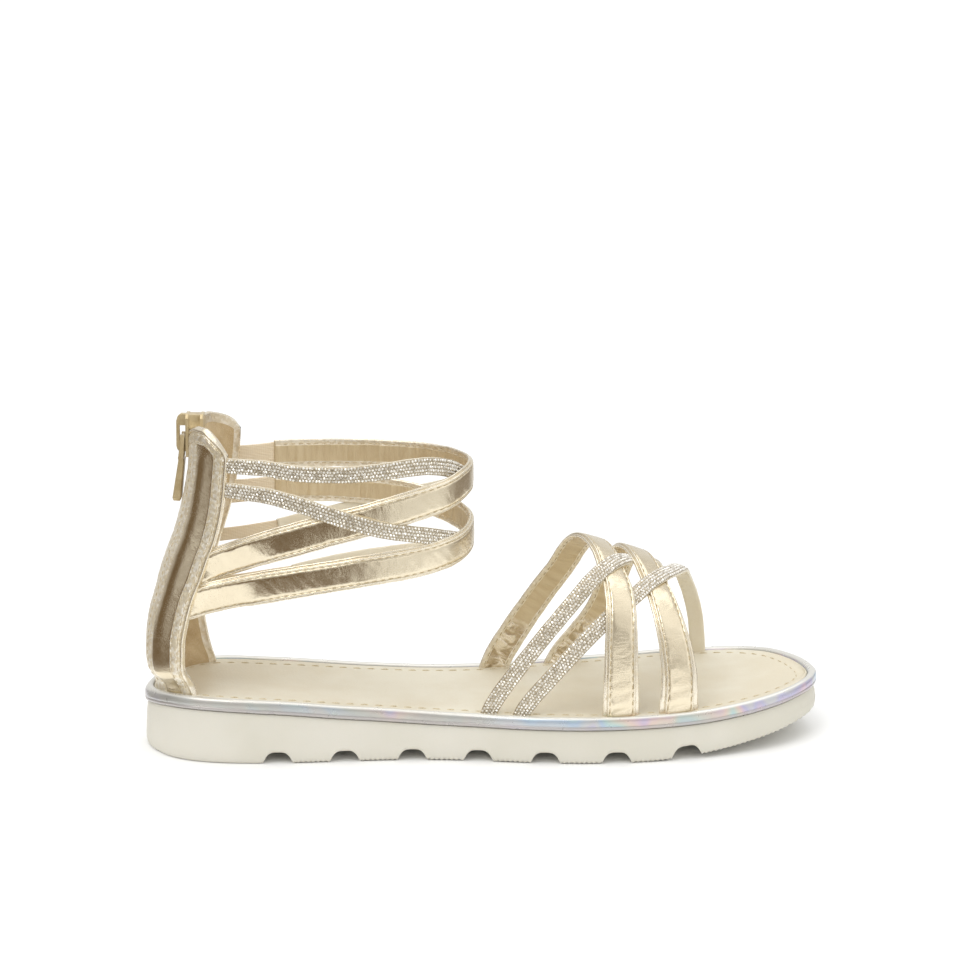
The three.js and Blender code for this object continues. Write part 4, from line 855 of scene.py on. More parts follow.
SEAM_IN = EDGE + 3.2
_, _, seam_near, seam_far = sides(SEAM_IN)
_, _, edge_near, edge_far = sides(EDGE + 0.7)


def footbed_z(x, y):
    n, f = edge_near(x), edge_far(x)
    t = np.clip((y - n) / np.maximum(f - n, 1e-6), 0, 1)
    return footbed(x, t, top_z(x) - INSOLE_DROP)


def seam_groove(x, t, z):
    """The footbed's face with the sewn line pressed in."""
    n, f = edge_near(x), edge_far(x)
    y = n + (f - n) * t
    near_d, far_d = np.abs(y - seam_near(x)), np.abs(y - seam_far(x))
    return footbed(x, t, z) - 0.14 * np.exp(-((np.minimum(near_d, far_d) / 0.6) ** 2))


build = Build()
slab(
    build,
    [
        (EDGE, lambda x: top_z(x) - RAND_HEIGHT),
        (EDGE, lambda x: top_z(x) - INSOLE_DROP - 0.75),
        (EDGE + 0.06, lambda x: top_z(x) - INSOLE_DROP - 0.4),
        (EDGE + 0.25, lambda x: top_z(x) - INSOLE_DROP - 0.12),
        (EDGE + 0.7, lambda x: top_z(x) - INSOLE_DROP),
    ],
    stations(1.0),
    2,
    70,
    high_z=seam_groove,
)
insole = build.object("insole_look", [M_INSOLE], weld=0.004, slot="insole_leather", sharp=55)
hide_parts("insole")

seam = RING + RING_IN * SEAM_IN
seam = np.vstack([seam, seam[:1]])
pts, at = even(seam, 4.4)
mid = (pts[1:] + pts[:-1]) / 2
tan = unit(np.diff(pts, axis=0))
keep = [i for i in range(len(mid)) if footbed_z(mid[i, 0], mid[i, 1]) > 0]
mid3 = np.stack([mid[:, 0], mid[:, 1], footbed_z(mid[:, 0], mid[:, 1]) - 0.06], 1)
build = Build()
stitches(build, mid3[keep], np.c_[tan, np.zeros(len(tan))][keep], np.tile([0, 0, 1.0], (len(keep), 1)), 2.9, 0.2)
seam_look = build.object("insole_stitching", [M_THREAD_CREAM], recalc=False, slot="insole_leather")

# ------------------------------------------------------------------ strap frames


def arch(a, x):
    lo, hi = near_y(x) + LEG_INSET, far_y(x) - LEG_INSET
    c, w, e = (lo + hi) / 2, (hi - lo) / 2, 2 / ARCH_POWER
    cs, sn = np.cos(np.radians(a)), np.maximum(np.sin(np.radians(a)), 0)
    base = top_z(x) - 0.4
    return np.stack([x, c - w * np.sign(cs) * np.abs(cs) ** e, base + (crest(x) - base) * sn**e], -1)


def arch_up(p):
    def g(q):
        lo, hi = near_y(q[:, 0]) + LEG_INSET, far_y(q[:, 0]) - LEG_INSET
        c, w, base = (lo + hi) / 2, (hi - lo) / 2, top_z(q[:, 0]) - 0.4
        return np.abs((q[:, 1] - c) / w) ** ARCH_POWER + (np.maximum(q[:, 2] - base, 0) / (crest(q[:, 0]) - base)) ** ARCH_POWER

    h = 0.05
    return unit(np.stack([g(p + np.eye(3)[k] * h) - g(p - np.eye(3)[k] * h) for k in range(3)], 1))


class Strap:
    """A strap's middle line with its frames: t along, n out, b across (b is t x n)."""

    def __init__(self, p, n, w, lift, s, lip=None):
        self.p, self.w, self.lift, self.s = p, w, lift, s
        self.lip = np.full(len(s), 0.62) if lip is None else lip  # how far the lining layer stands out past the film
        self.t = unit(np.gradient(p, axis=0))
        self.b = unit(np.cross(self.t, n))
        self.n = unit(np.cross(self.b, self.t))

    def twist(self, degrees):
        """Leans the strap about its own line; plus turns its outer face up where b points up."""
        a = np.radians(degrees)[:, None]
        b, n = self.b, self.n
        self.b = b * np.cos(a) - n * np.sin(a)
        self.n = n * np.cos(a) + b * np.sin(a)
        return self

    def point(self, u, v):
        u, v = np.asarray(u, float), np.asarray(v, float)
        return self.p[:, None, :] + self.b[:, None, :] * u[..., None] + self.n[:, None, :] * (v + self.lift[:, None])[..., None]

    def at(self, s, u, v):
        """Point, direction and outward normal at lengths s."""
        f = lambda a: np.stack([np.interp(s, self.s, a[:, k]) for k in range(3)], 1)
        p, t, b, n = f(self.p), unit(f(self.t)), unit(f(self.b)), unit(f(self.n))
        w, l = np.interp(s, self.s, self.w), np.interp(s, self.s, self.lift)
        u, v = (x(w) if callable(x) else x for x in (u, v))
        return p + b * np.reshape(u, (-1, 1)) + n * np.reshape(v + l, (-1, 1)), t, n, b


def fore_strap(name, pitch):
    rows = FORE[name]
    xs, ls = smooth(rows, 1), smooth(rows, 2)
    a = np.linspace(0, 180, 1601)
    x = xs(a)
    p = arch(a, x)
    lift = ls(a)
    spread = FLARE.get(name, 0) * (1 - np.clip(a / 55, 0, 1)) ** 1.5
    # both feet run on down beside the footbed
    for end in (0, -1):
        t = unit((p[1] - p[0]) if end == 0 else (p[-2] - p[-1])) * -1
        run = float(np.clip(t[0] / max(-t[2], 0.3), -1, 1))
        drop = np.linspace(0, 3.3, 7)[1:]
        fx = p[end, 0] + run * drop
        fy = (near_y(fx) + LEG_INSET) if end == 0 else (far_y(fx) - LEG_INSET)
        foot = np.stack([fx, fy, p[end, 2] - drop], 1)
        extra = np.zeros(len(foot))
        if end == 0:
            p, lift, spread = np.vstack([foot[::-1], p]), np.r_[extra, lift], np.r_[extra + spread[0], spread]
        else:
            p, lift, spread = np.vstack([p, foot]), np.r_[lift, extra], np.r_[spread, extra]
    q, s = even(np.c_[p, lift, spread], pitch)
    q = soften(q, 2.2 / pitch)
    body = q[:, :3]
    up_from = body.copy()
    up_from[:, 2] = np.maximum(up_from[:, 2], top_z(body[:, 0]) + 0.4)
    n = soften(arch_up(up_from), 2.0 / pitch)
    s = np.r_[0, np.cumsum(np.linalg.norm(np.diff(body, axis=0), axis=1))]
    w = np.full(len(s), STONE_WIDTH if name.startswith("stone") else FORE_GOLD_WIDTH) + q[:, 4]
    return Strap(body, n, w, q[:, 3], s, 0.62 + 0.36 * q[:, 4])


_loop = centripetal(LOOP, False, 1900)
_loop_s = np.r_[0, np.cumsum(np.linalg.norm(np.diff(_loop, axis=0), axis=1))]
shell_front = {"lat": smooth(SHELL, 2), "med": smooth(SHELL, 3)}


def loop_at(s):
    return np.stack([np.interp(s, _loop_s, _loop[:, k]) for k in range(2)], 1)


def loop_strap(s0, s1, z, w, lift, pitch):
    s = np.linspace(s0, s1, max(int((s1 - s0) / pitch), 4) + 1)
    step_s = (s1 - s0) / (len(s) - 1)
    xy = loop_at(s)
    d = loop_at(np.minimum(s + 0.5, _loop_s[-1])) - loop_at(np.maximum(s - 0.5, 0))
    d = unit(d)
    p = soften(np.c_[xy, z(s), lift(s), w(s)], 2.0 / step_s)
    n = soften(np.stack([d[:, 1], -d[:, 0], np.zeros(len(s))], 1), 2.0 / step_s)
    return Strap(p[:, :3], n, p[:, 4], p[:, 3], s - s0)


def ankle_strap(name, pitch):
    rows = ANKLE[name]
    z, w, l = (smooth(rows, k) for k in (1, 2, 3))
    # the strap starts inside the lateral quarter
    s = np.linspace(0, 40, 801)
    x = loop_at(s)[:, 0]
    start = s[np.argmax(x > shell_front["lat"](z(s)) - 2.6)]
    strap = loop_strap(start, rows[-1][0], z, w, l, pitch)
    if name.startswith("gold"):
        strap.twist(14.0 * step(1.0, 5.5, strap.s) * (1 - step(15, 27, strap.s)))
    return strap


# ------------------------------------------------------------------ gold straps
# Half section from the outer face's middle to the inner face's middle: (share of half width or None, distance in from the edge, depth, material)
FOIL, EDGE_M, FOLD, LINE = 0, 1, 2, 3
HALF = [
    (0.0, None, 0.84, FOIL), (0.25, None, 0.84, FOIL), (0.45, None, 0.83, FOIL), (None, 1.9, 0.81, FOIL), (None, 1.35, 0.78, FOIL),
    (None, 1.05, 0.70, FOIL), (None, 0.86, 0.57, FOIL), (None, 0.68, 0.70, FOIL), (None, 0.52, 0.745, FOIL), (None, 0.34, 0.72, EDGE_M),
    (None, 0.2, 0.65, EDGE_M), (None, 0.1, 0.52, EDGE_M), (None, 0.04, 0.36, EDGE_M), (None, 0.08, 0.16, EDGE_M), (None, 0.2, 0.0, EDGE_M),
    (None, 0.14, -0.12, EDGE_M), ("lip", 0.62, -0.1, EDGE_M), ("lip", 0.35, -0.06, EDGE_M), ("lip", 0.14, -0.13, EDGE_M),
    ("lip", 0.02, -0.3, EDGE_M), ("lip", 0.0, -0.48, EDGE_M), ("lip", 0.05, -0.66, EDGE_M), ("lip", 0.2, -0.82, FOLD), ("lip", 0.5, -0.89, FOLD),
    ("lip", 1.1, -0.89, FOLD), ("lip", 1.7, -0.88, FOLD), ("lip", 1.86, -0.8, LINE), ("lip", 2.3, -0.78, LINE), (0.3, None, -0.78, LINE),
    (0.0, None, -0.78, LINE),
]
STITCH_IN, PITCH = 0.86, 2.45


def gold_strap(build, strap, seed, crease=(), feet=0.0):
    """Adds a folded, lined and sewn strap. crease lists (length, spread, depth) of cross folds."""
    s = strap.s
    halves = []
    puck = 0.5 + 0.5 * np.cos(TAU * (s - 1.2) / PITCH)  # 1 at stitch holes
    for side in (1, -1):
        pts = []
        for i, (share, inn, v, _) in enumerate(HALF):
            h = strap.w / 2 + 0.07 * wave(seed + side, (9, 15, 5.2), s)
            if share == "lip":
                u = h - inn * np.where(v > -0.3, strap.lip / 0.62, 1)
            elif share is not None:
                u = (h - strap.lip) * share
            else:
                u = h - strap.lip - inn
            vv = np.full(len(s), v)
            if 3 <= i <= 8:
                vv = vv - 0.1 * puck * np.exp(-(((inn - STITCH_IN) / 0.3) ** 2))
            if i <= 3:
                vv = vv + 0.035 * wave(seed + 7, (7, 12, 4), s + 0.4 * u * side) + 0.03 * wave(seed + 8, (3.1, 4.7), s - 0.8 * u * side)
                for c, spread, depth in crease:
                    vv = vv - depth * np.exp(-(((s - c - 0.25 * u * side) / spread) ** 2))
            if 22 <= i <= 25:  # the turned edge puckers
                vv = vv + 0.1 * wave(seed + 21 + side, (2.1, 3.0, 1.6), s + 0.3 * i)
            if i >= 27:
                vv = vv + 0.08 * wave(seed + 30, (6.0, 8.5, 13.0), s + 0.15 * u * side) + 0.03 * wave(seed + 31, (2.8, 3.7), s)
            pts.append((u * side, vv))
        halves.append(pts)
    order = [(0, i) for i in range(len(HALF))] + [(1, i) for i in range(len(HALF) - 2, 0, -1)]
    u = np.stack([halves[a][i][0] for a, i in order], 1)
    v = np.stack([halves[a][i][1] for a, i in order], 1)
    mats = []
    for k in range(len(order)):
        i, j = order[k][1], order[(k + 1) % len(order)][1]
        mats.append(max(HALF[i][3], HALF[j][3]) if {HALF[i][3], HALF[j][3]} != {FOLD, LINE} else FOLD)
    ring = strap.point(u, v)
    near_foot = feet * np.maximum(step(s[-1] - 27, s[-1] - 9, s), 1 - step(9, 22, s))
    data = np.stack([np.repeat(s[:, None], len(order), 1), u, np.repeat(near_foot[:, None], len(order), 1)], -1)
    idx = build.grid(ring, np.array(mats)[None, :], loop_v=True, data=data)
    build.face(idx[0, :-1][::-1], EDGE_M)
    build.face(idx[-1, :-1], EDGE_M)


def strap_stitches(build, strap, inner=True, first=1.2, skip=()):
    n = int((strap.s[-1] - first - 0.8) / PITCH)
    s = first + PITCH * (np.arange(n) + 0.5)
    for side in (1, -1):
        lip = np.interp(s, strap.s, strap.lip)
        p, t, up, _ = strap.at(s, lambda w: side * (w / 2 - lip - STITCH_IN), 0.62)
        stitches(build, p, t, up, 1.7, 0.16)
        if inner:
            p, t, up, _ = strap.at(s, lambda w: side * (w / 2 - 1.4), -0.9)
            stitches(build, p, t, -up, 1.6, 0.15)


# ------------------------------------------------------------------ stone straps
BED, CREAM = 0, 1
STONE_HALF = [
    (0.0, 0.52, BED), (0.3, 0.51, BED), (0.55, 0.47, BED), (0.75, 0.38, BED), (0.9, 0.22, BED), (0.985, 0.02, BED), (1.0, -0.2, CREAM),
    (1.0, -0.55, CREAM), (0.975, -0.78, CREAM), (0.9, -0.9, CREAM), (0.6, -0.94, CREAM), (0.3, -0.94, CREAM), (0.0, -0.94, CREAM),
]


def stone_strap(build, gems, strap, seed, rows=5):
    s = strap.s
    order = [(1, i) for i in range(len(STONE_HALF))] + [(-1, i) for i in range(len(STONE_HALF) - 2, 0, -1)]
    h = strap.w / 2
    u = np.stack([side * STONE_HALF[i][0] * h + 0.04 * wave(seed, (6, 11), s) for side, i in order], 1)
    v = np.stack([np.full(len(s), STONE_HALF[i][1]) for _, i in order], 1)
    mats = [max(STONE_HALF[order[k][1]][2], STONE_HALF[order[(k + 1) % len(order)][1]][2]) for k in range(len(order))]
    ring = strap.point(u, v)
    idx = build.grid(ring, np.array(mats)[None, :], loop_v=True, data=np.stack([np.repeat(s[:, None], len(order), 1), u, v], -1))
    build.face(idx[0, :-1][::-1], BED)
    build.face(idx[-1, :-1], BED)
    # the stones, row by row
    r = np.random.default_rng(seed)
    pitch = 0.97
    n = int((s[-1] - 0.6) / pitch)
    ang = np.arange(8) / 8 * TAU
    tris = [[0, 1 + k, 1 + (k + 1) % 8] for k in range(8)]
    quads = [[1 + k, 9 + k, 9 + (k + 1) % 8, 1 + (k + 1) % 8] for k in range(8)]
    for row in range(rows):
        f = (row - (rows - 1) / 2) / ((rows - 1) / 2)
        c = s[0] + 0.5 + pitch * (np.arange(n) + (0.5 if row % 2 else 0.0))
        c = c[c < s[-1] - 0.3] + r.uniform(-0.09, 0.09, (c < s[-1] - 0.3).sum())
        share = f * 0.76
        p, t, up, b = strap.at(c, lambda w: share * w / 2 + r.uniform(-0.08, 0.08, len(c)), 0.50 - 0.26 * f * f)
        lean = 0.30 * f
        up2 = unit(up * math.cos(lean) + b * math.sin(lean))
        up2 = unit(up2 + t * r.uniform(-0.3, 0.3, (len(c), 1)) + b * r.uniform(-0.3, 0.3, (len(c), 1)))
        e1 = unit(np.cross(up2, t))
        e2 = np.cross(up2, e1)
        for k in range(len(c)):
            rot = r.uniform(0, TAU)
            size = r.uniform(0.94, 1.06)
            ca, sa = np.cos(ang + rot), np.sin(ang + rot)
            tab = p[k] + (ca[:, None] * e1[k] + sa[:, None] * e2[k]) * 0.24 * size + up2[k] * 0.31
            gir = p[k] + (ca[:, None] * e1[k] + sa[:, None] * e2[k]) * 0.47 * size - up2[k] * 0.02
            base = p[k] + (ca[:, None] * e1[k] + sa[:, None] * e2[k]) * 0.38 * size - up2[k] * 0.22
            verts = np.vstack([p[k] + up2[k] * 0.32, tab, gir, base, p[k] - up2[k] * 0.22])
            faces = tris + quads + [[9 + j, 17 + j, 17 + (j + 1) % 8, 9 + (j + 1) % 8] for j in range(8)]
            faces = faces + [[25, 17 + (j + 1) % 8, 17 + j] for j in range(8)]
            tint = [r.uniform(0, 1), r.uniform(0, 1), 0]
            gems.v.append(verts)
            gems.f.extend([[i + gems.n for i in q] for q in faces])
            gems.m.extend([0] * len(faces))
            gems.a.append(np.tile(tint, (len(verts), 1)))
            gems.n += len(verts)


# ------------------------------------------------------------------ build the straps
PITCH_MESH = 0.62

straps = {}
for name in FORE:
    straps[name] = fore_strap(name, PITCH_MESH if name.startswith("gold") else 1.0)
for name in ANKLE:
    straps[name + "_ankle" if name in FORE else name] = ankle_strap(name, PITCH_MESH if name.startswith("gold") else 1.0)

ankle_gold, ankle_thread = Build(), Build()
for name, seed, crease in (
    ("gold_high", 101, [(9, 1.2, 0.12), (46, 2.5, 0.08), (122, 2.0, 0.1)]),
    ("gold_low", 131, [(8, 1.5, 0.1), (54, 2.2, 0.08), (104, 2.0, 0.1), (140, 1.6, 0.1)]),
):
    gold_strap(ankle_gold, straps[name], seed, crease)
    strap_stitches(ankle_thread, straps[name])
ankle_look = ankle_gold.object("ankle_straps_gold", [M_FOIL, M_EDGE, M_FOLD, M_LINING], slot="strap_leather")
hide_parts("ankle_straps")
ankle_thread.object("ankle_straps_stitching", [M_THREAD], recalc=False, slot="strap_leather")

vamp_gold, vamp_thread = Build(), Build()
for name, seed in (("gold_rear", 201), ("gold_front", 231)):
    st = straps[name]
    end = st.s[-1]
    near = [(4.9, 0.7, 0.2), (7.4, 1.1, -0.14), (10.2, 0.9, 0.13), (14.5, 1.7, 0.1), (21.0, 2.2, 0.1)]
    far = [(end - 6, 0.9, 0.1), (end - 8.4, 1.0, -0.08), (end - 11, 1.3, 0.08)]
    gold_strap(vamp_gold, st, seed, near + far, 1.0)
    strap_stitches(vamp_thread, st, first=3.6)
vamp_look = vamp_gold.object("vamp_straps_gold", [M_FOIL, M_EDGE, M_FOLD, M_LINING], slot="strap_leather")
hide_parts("vamp_straps")
vamp_thread.object("vamp_straps_stitching", [M_THREAD], recalc=False, slot="strap_leather")

for group, names in (("ankle", ("stone_high", "stone_low")), ("vamp", ("stone_rear", "stone_front"))):
    bed, gems = Build(), Build()
    for k, name in enumerate(names):
        stone_strap(bed, gems, straps[name], 300 + 17 * k + len(group))
    bed.object(f"{group}_stone_straps", [M_BED, M_CREAM], slot="strap_leather")
    gems.object(f"{group}_stones", [M_STONE], recalc=False, shade=False, slot="strap_leather")

# ------------------------------------------------------------------ elastics
for name, (start, z0, z1, w) in ELASTICS.items():
    s = np.linspace(start, _loop_s[-1], 400)
    end = s[min(int(np.argmax(loop_at(s)[:, 0] < shell_front["med"](z1) - 2.2)), len(s) - 1)]
    run = loop_strap(
        start - 1.6, end, lambda v: z0 + (z1 - z0) * (v - start) / (end - start), lambda v: np.full(np.shape(v), w), lambda v: np.zeros(np.shape(v)), 0.35
    )
    count = 26 if w > 6 else 16
    u = np.linspace(-1, 1, count * 2 + 1)
    rib = 0.09 * np.abs(np.sin(u * count / 2 * math.pi / 2))
    edge = np.clip((1 - np.abs(u)) / 0.05, 0, 1) ** 0.5
    nar = run.w / 2 * (1 - 0.05 * np.sin(np.linspace(0, math.pi, len(run.s))))
    uu = nar[:, None] * u[None, :]
    vv = np.broadcast_to((0.42 + rib) * (0.35 + 0.65 * edge), uu.shape) + 0.02 * np.sin(TAU * run.s / 0.7)[:, None]
    build = Build()
    ring_u, ring_v = np.hstack([uu, uu[:, ::-1]]), np.hstack([vv, -vv[:, ::-1]])
    idx = build.grid(run.point(ring_u, ring_v), 0, loop_v=True, data=np.stack([np.repeat(run.s[:, None], ring_u.shape[1], 1), ring_u, ring_v], -1))
    build.face(idx[0, :-1][::-1])
    build.face(idx[-1, :-1])
    look = build.object(name + "_look", [M_ELASTIC], slot="elastic_fabric")
    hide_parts(name)

# ------------------------------------------------------------------ heel quarters
shell = {k: smooth(SHELL, i) for k, i in (("back", 1), ("frontLat", 2), ("frontMed", 3), ("lat", 4), ("med", 5))}
top_edge = {"lat": smooth(QUARTER_TOP, 1), "med": smooth(QUARTER_TOP, 2)}
SEAT = RING + RING_IN * (RAND_WIDTH + GAP + 0.05)
SEAT = SEAT[::10]


def seat(cx, p):
    """Where rays from the middle of the heel through the points p meet the inner wall of the band."""
    a, b = SEAT, np.roll(SEAT, -1, 0)
    e = b - a
    d = p[:, :2] - np.array([cx, CENTRE_Y]) - np.array([1e-6, 0])
    det = d[:, None, 0] * e[None, :, 1] - d[:, None, 1] * e[None, :, 0]
    det = np.where(np.abs(det) < 1e-9, 1e-9, det)
    ax, ay = a[None, :, 0] - cx, a[None, :, 1] - CENTRE_Y
    t = (ax * e[None, :, 1] - ay * e[None, :, 0]) / det
    q = (ax * d[:, None, 1] - ay * d[:, None, 0]) / det
    ok = (t > 0) & (q >= -1e-6) & (q <= 1 + 1e-6)
    t = np.where(ok, t, np.inf).min(1)
    t = np.where(np.isfinite(t), t, 1)
    return np.array([cx, CENTRE_Y]) + d * t[:, None]


def shell_points(side, u, z):
    """Outer face of a heel panel at shares u (0 at the zip, 1 at the front edge) for one height z."""
    lat = side == "lat"
    back, front = float(shell["back"](z)), float(shell["frontLat" if lat else "frontMed"](z))
    half = float(shell[side](z))
    u0 = math.asin(ZIP_HALF_GAP / half)
    th = u0 + (math.pi / 2 - u0) * u
    p = np.stack([back + (front - back) * (1 - np.cos(th)), CENTRE_Y + (-1 if lat else 1) * half * np.sin(th)], 1)
    c = seat(front, p)
    k = np.clip((top_z(c[:, 0]) + 6.5 - z) / 6, 0, 1)
    e = (k * k * (3 - 2 * k))[:, None]
    return np.c_[p * (1 - e) + c * e, np.full(len(u), z)]


FRONT_COLS = [0, 0.12, 0.3, 0.5, 0.7, 0.9, 1.05, 1.18, 1.3, 1.42, 1.6, 1.8, 1.95, 2.1, 2.35, 2.8, 3.3, 3.6, 3.85, 4.0, 4.15, 4.35, 4.5, 4.62, 4.76, 5.0, 5.4]
STRIP_WIDE = 1.7  # the strip beside the zip, times the widths listed
BACK_COLS = [0, 0.12, 0.3, 0.55, 0.9, 1.5, 2.2, 3.0, 3.8, 4.6, 5.1, 5.4, 5.52, 5.64, 5.8, 6.1]
TOP_ROWS = FRONT_COLS + [6.0, 6.8, 7.8]


def frame_height(d):
    """Relief of the bound edge and the sewn strip beside it, against the distance from the edge."""
    pts = ([-1, 0, 0.12, 0.3, 0.6, 0.9, 1.05, 1.18, 1.3, 1.42, 1.6, 1.8, 1.95, 2.1, 2.35, 3.3, 3.85, 4.0, 4.15, 4.4, 4.52, 4.64, 4.8, 9],
           [-0.45, -0.45, -0.12, 0.16, 0.28, 0.16, -0.02, -0.2, -0.3, -0.16, 0.06, 0.1, -0.02, 0.1, 0.14, 0.14, 0.1, -0.02, 0.1, 0.06, -0.06, -0.22, -0.26, -0.26])
    return np.interp(d, *pts)


def back_height(d):
    return np.interp(d, [0, 0.12, 0.3, 0.6, 4.8, 5.3, 5.42, 5.54, 5.7, 5.95, 9], [-0.45, -0.15, 0.0, 0.08, 0.1, 0.04, -0.16, -0.42, -0.42, -0.26, -0.26])


def quarter(side, seed):
    dense = np.linspace(0, 1, 121)
    zs = np.linspace(12.5, 103.5, 183)
    tab = np.stack([shell_points(side, dense, float(z)) for z in zs], 0)  # z, u, 3
    arc = np.concatenate([np.zeros((len(zs), 1)), np.cumsum(np.linalg.norm(np.diff(tab, axis=1), axis=2), axis=1)], 1)
    total = arc[:, -1]

    def point(u, z):
        fi = np.clip((z - zs[0]) / (zs[1] - zs[0]), 0, len(zs) - 1.001)
        fj = np.clip(u, 0, 1) * (len(dense) - 1)
        fj = np.minimum(fj, len(dense) - 1.001)
        i, j = fi.astype(int), fj.astype(int)
        a, b = (fi - i)[..., None], (fj - j)[..., None]
        return (tab[i, j] * (1 - a) + tab[i + 1, j] * a) * (1 - b) + (tab[i, j + 1] * (1 - a) + tab[i + 1, j + 1] * a) * b

    def u_of(arc_len, z):
        """u at an arc length from the zip edge, by height."""
        fi = np.clip((z - zs[0]) / (zs[1] - zs[0]), 0, len(zs) - 1.001)
        i = fi.astype(int)
        f = fi - i
        out = np.zeros_like(z)
        for k in range(z.size):
            row = arc[i.flat[k]] * (1 - f.flat[k]) + arc[i.flat[k] + 1] * f.flat[k]
            out.flat[k] = np.interp(arc_len.flat[k], row, dense)
        return out

    low = float(top_z(-93.0)) - 3.3
    # the columns' places between both edges
    mid_n = 22
    rows_top = np.array(TOP_ROWS)
    rows_low = np.linspace(0, 1, 116)[1:] ** 1.0
    n_rows, n_cols = len(rows_top) + len(rows_low), len(BACK_COLS) + mid_n + len(FRONT_COLS)
    u = np.broadcast_to(np.linspace(0, 1, n_cols), (n_rows, n_cols)).copy()
    foot = lambda uu: np.minimum(low, float(top_z(-86.0)) - 3.3) + 0 * uu
    for _ in range(4):
        tz = top_edge[side](u)
        z = np.empty_like(u)
        z[: len(rows_top)] = tz[: len(rows_top)] - rows_top[:, None]
        start = tz[len(rows_top) :] - rows_top[-1]
        z[len(rows_top) :] = start + (foot(u[len(rows_top) :]) - start) * rows_low[:, None]
        length_z = np.interp(z, zs, total)
        want = np.empty_like(u)
        nb, nf = len(BACK_COLS), len(FRONT_COLS)
        want[:, :nb] = np.array(BACK_COLS) * STRIP_WIDE
        want[:, -nf:] = length_z[:, -nf:] - np.array(FRONT_COLS)[::-1]
        t = (np.arange(mid_n) + 1) / (mid_n + 1)
        want[:, nb:-nf] = BACK_COLS[-1] * STRIP_WIDE + (length_z[:, nb:-nf] - FRONT_COLS[-1] - BACK_COLS[-1] * STRIP_WIDE) * t
        u = u_of(want, z)
    p = point(u, z)
    e = 0.004
    du = point(np.clip(u + e, 0, 1), z) - point(np.clip(u - e, 0, 1), z)
    dz = point(u, z + 0.5) - point(u, z - 0.5)
    n = unit(np.cross(du, dz))
    flip = (n[..., 0] * (p[..., 0] + 82) + n[..., 1] * (p[..., 1] - CENTRE_Y)) < 0
    n = np.where(flip[..., None], -n, n)
    n = soften(n, 2.0)
    n = unit(n)
    arc_here = want
    d_front = np.interp(z, zs, total) - arc_here
    d_back = arc_here / STRIP_WIDE
    d_top = top_edge[side](u) - z
    # rounded corner where the bound edge turns from the top to the front
    k = 1.6
    h = np.clip(0.5 + 0.5 * (d_top - d_front) / k, 0, 1)
    d = d_top * (1 - h) + d_front * h - k * h * (1 - h)
    relief_frame, relief_back = frame_height(d), back_height(d_back)
    in_frame = d < 4.7
    relief = np.where(in_frame, np.where(d_back < 0.3, np.minimum(relief_frame, relief_back), relief_frame), relief_back)
    panel = (~in_frame) & (d_back > 5.9)
    run = top_edge[side](u) - z
    room = np.maximum(np.interp(z, zs, total) - 4.7 - 5.9 * STRIP_WIDE, 1)
    share = np.clip((arc_here - 5.9 * STRIP_WIDE) / room, 0, 1)
    relief = relief + np.where(panel, 0.8 * (1 - np.abs(2 * share - 1) ** 3) * step(0, 6, d - 4.7), 0)
    relief = relief + np.where(panel, 0.05 * wave(seed, (14, 23), z + 0.3 * arc_here) + 0.03 * wave(seed + 1, (5, 8), z - 0.5 * arc_here), 0)
    strip = (d > 1.5) & (d < 4.5)
    relief = relief + np.where(strip, 0.05 * wave(seed + 2, (2.3, 3.6), run + arc_here), 0)
    relief = relief + np.where((d_back < 5.3) & ~in_frame, 0.06 * wave(seed + 3, (1.7, 2.6, 4.1), z + 1.3 * arc_here), 0)
    outer = p + n * relief[..., None]
    inner = p - n * (QUARTER_THICK - 0.1 + 0.06 * wave(seed + 4, (9, 5), z + arc_here))[..., None]
    build = Build()
    data = np.stack([z, arc_here, d], -1)
    zone = np.full(p.shape[:2], 0)
    zone[(d_back < 5.6) & ~in_frame] = 2
    zone[in_frame & (d >= 1.3)] = 3
    zone[in_frame & (d < 1.3)] = 1
    build.grid(outer, zone[:-1, :-1], data=data)
    inner_d = np.minimum(d_front, d_top)
    build.grid(inner, np.where(inner_d[:-1, :-1] < 2.4, 5, 4), data=data)
    # rounded edges: the zip side, the front, the top and the foot
    steps = np.linspace(0, 1, 6)
    for a, b, out in (
        (outer[:, 0], inner[:, 0], unit(p[:, 0] - p[:, 1]) * 0.22),
        (outer[:, -1], inner[:, -1], unit(p[:, -1] - p[:, -2]) * 0.38),
        (outer[0], inner[0], unit(p[0] - p[1]) * 0.38),
        (outer[-1], inner[-1], unit(p[-1] - p[-2]) * 0.0),
    ):
        bulge = np.sin(steps * math.pi)[:, None, None]
        build.grid(a[None] * (1 - steps[:, None, None]) + b[None] * steps[:, None, None] + out[None] * bulge, 1)
    name = {"lat": "quarter_lateral", "med": "quarter_medial"}[side]
    look = build.object(name + "_look", [M_PANEL, M_EDGE, M_STRIP, M_BAND, M_SUEDE, M_FOLD], weld=0.003, slot="quarter_leather", sharp=65)
    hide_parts(name)

    # sewing: two lines inside the bound edge, one beside the zip strip
    sew = Build()

    def sew_line(pts, nrm, first=0.6, pitch=2.35, ln=1.65, r=0.17, lift=0.02):
        q, s_at = even(np.c_[pts, nrm], 0.3)
        c = first + pitch * np.arange(int((s_at[-1] - first) / pitch))
        f = lambda cols: np.stack([np.interp(c, s_at, q[:, k]) for k in cols], 1)
        pc = f((0, 1, 2))
        ahead = np.stack([np.interp(c + 0.4, s_at, q[:, k]) for k in (0, 1, 2)], 1)
        back = np.stack([np.interp(c - 0.4, s_at, q[:, k]) for k in (0, 1, 2)], 1)
        up = unit(f((3, 4, 5)))
        stitches(sew, pc + up * lift, unit(ahead - back), up, ln, r)

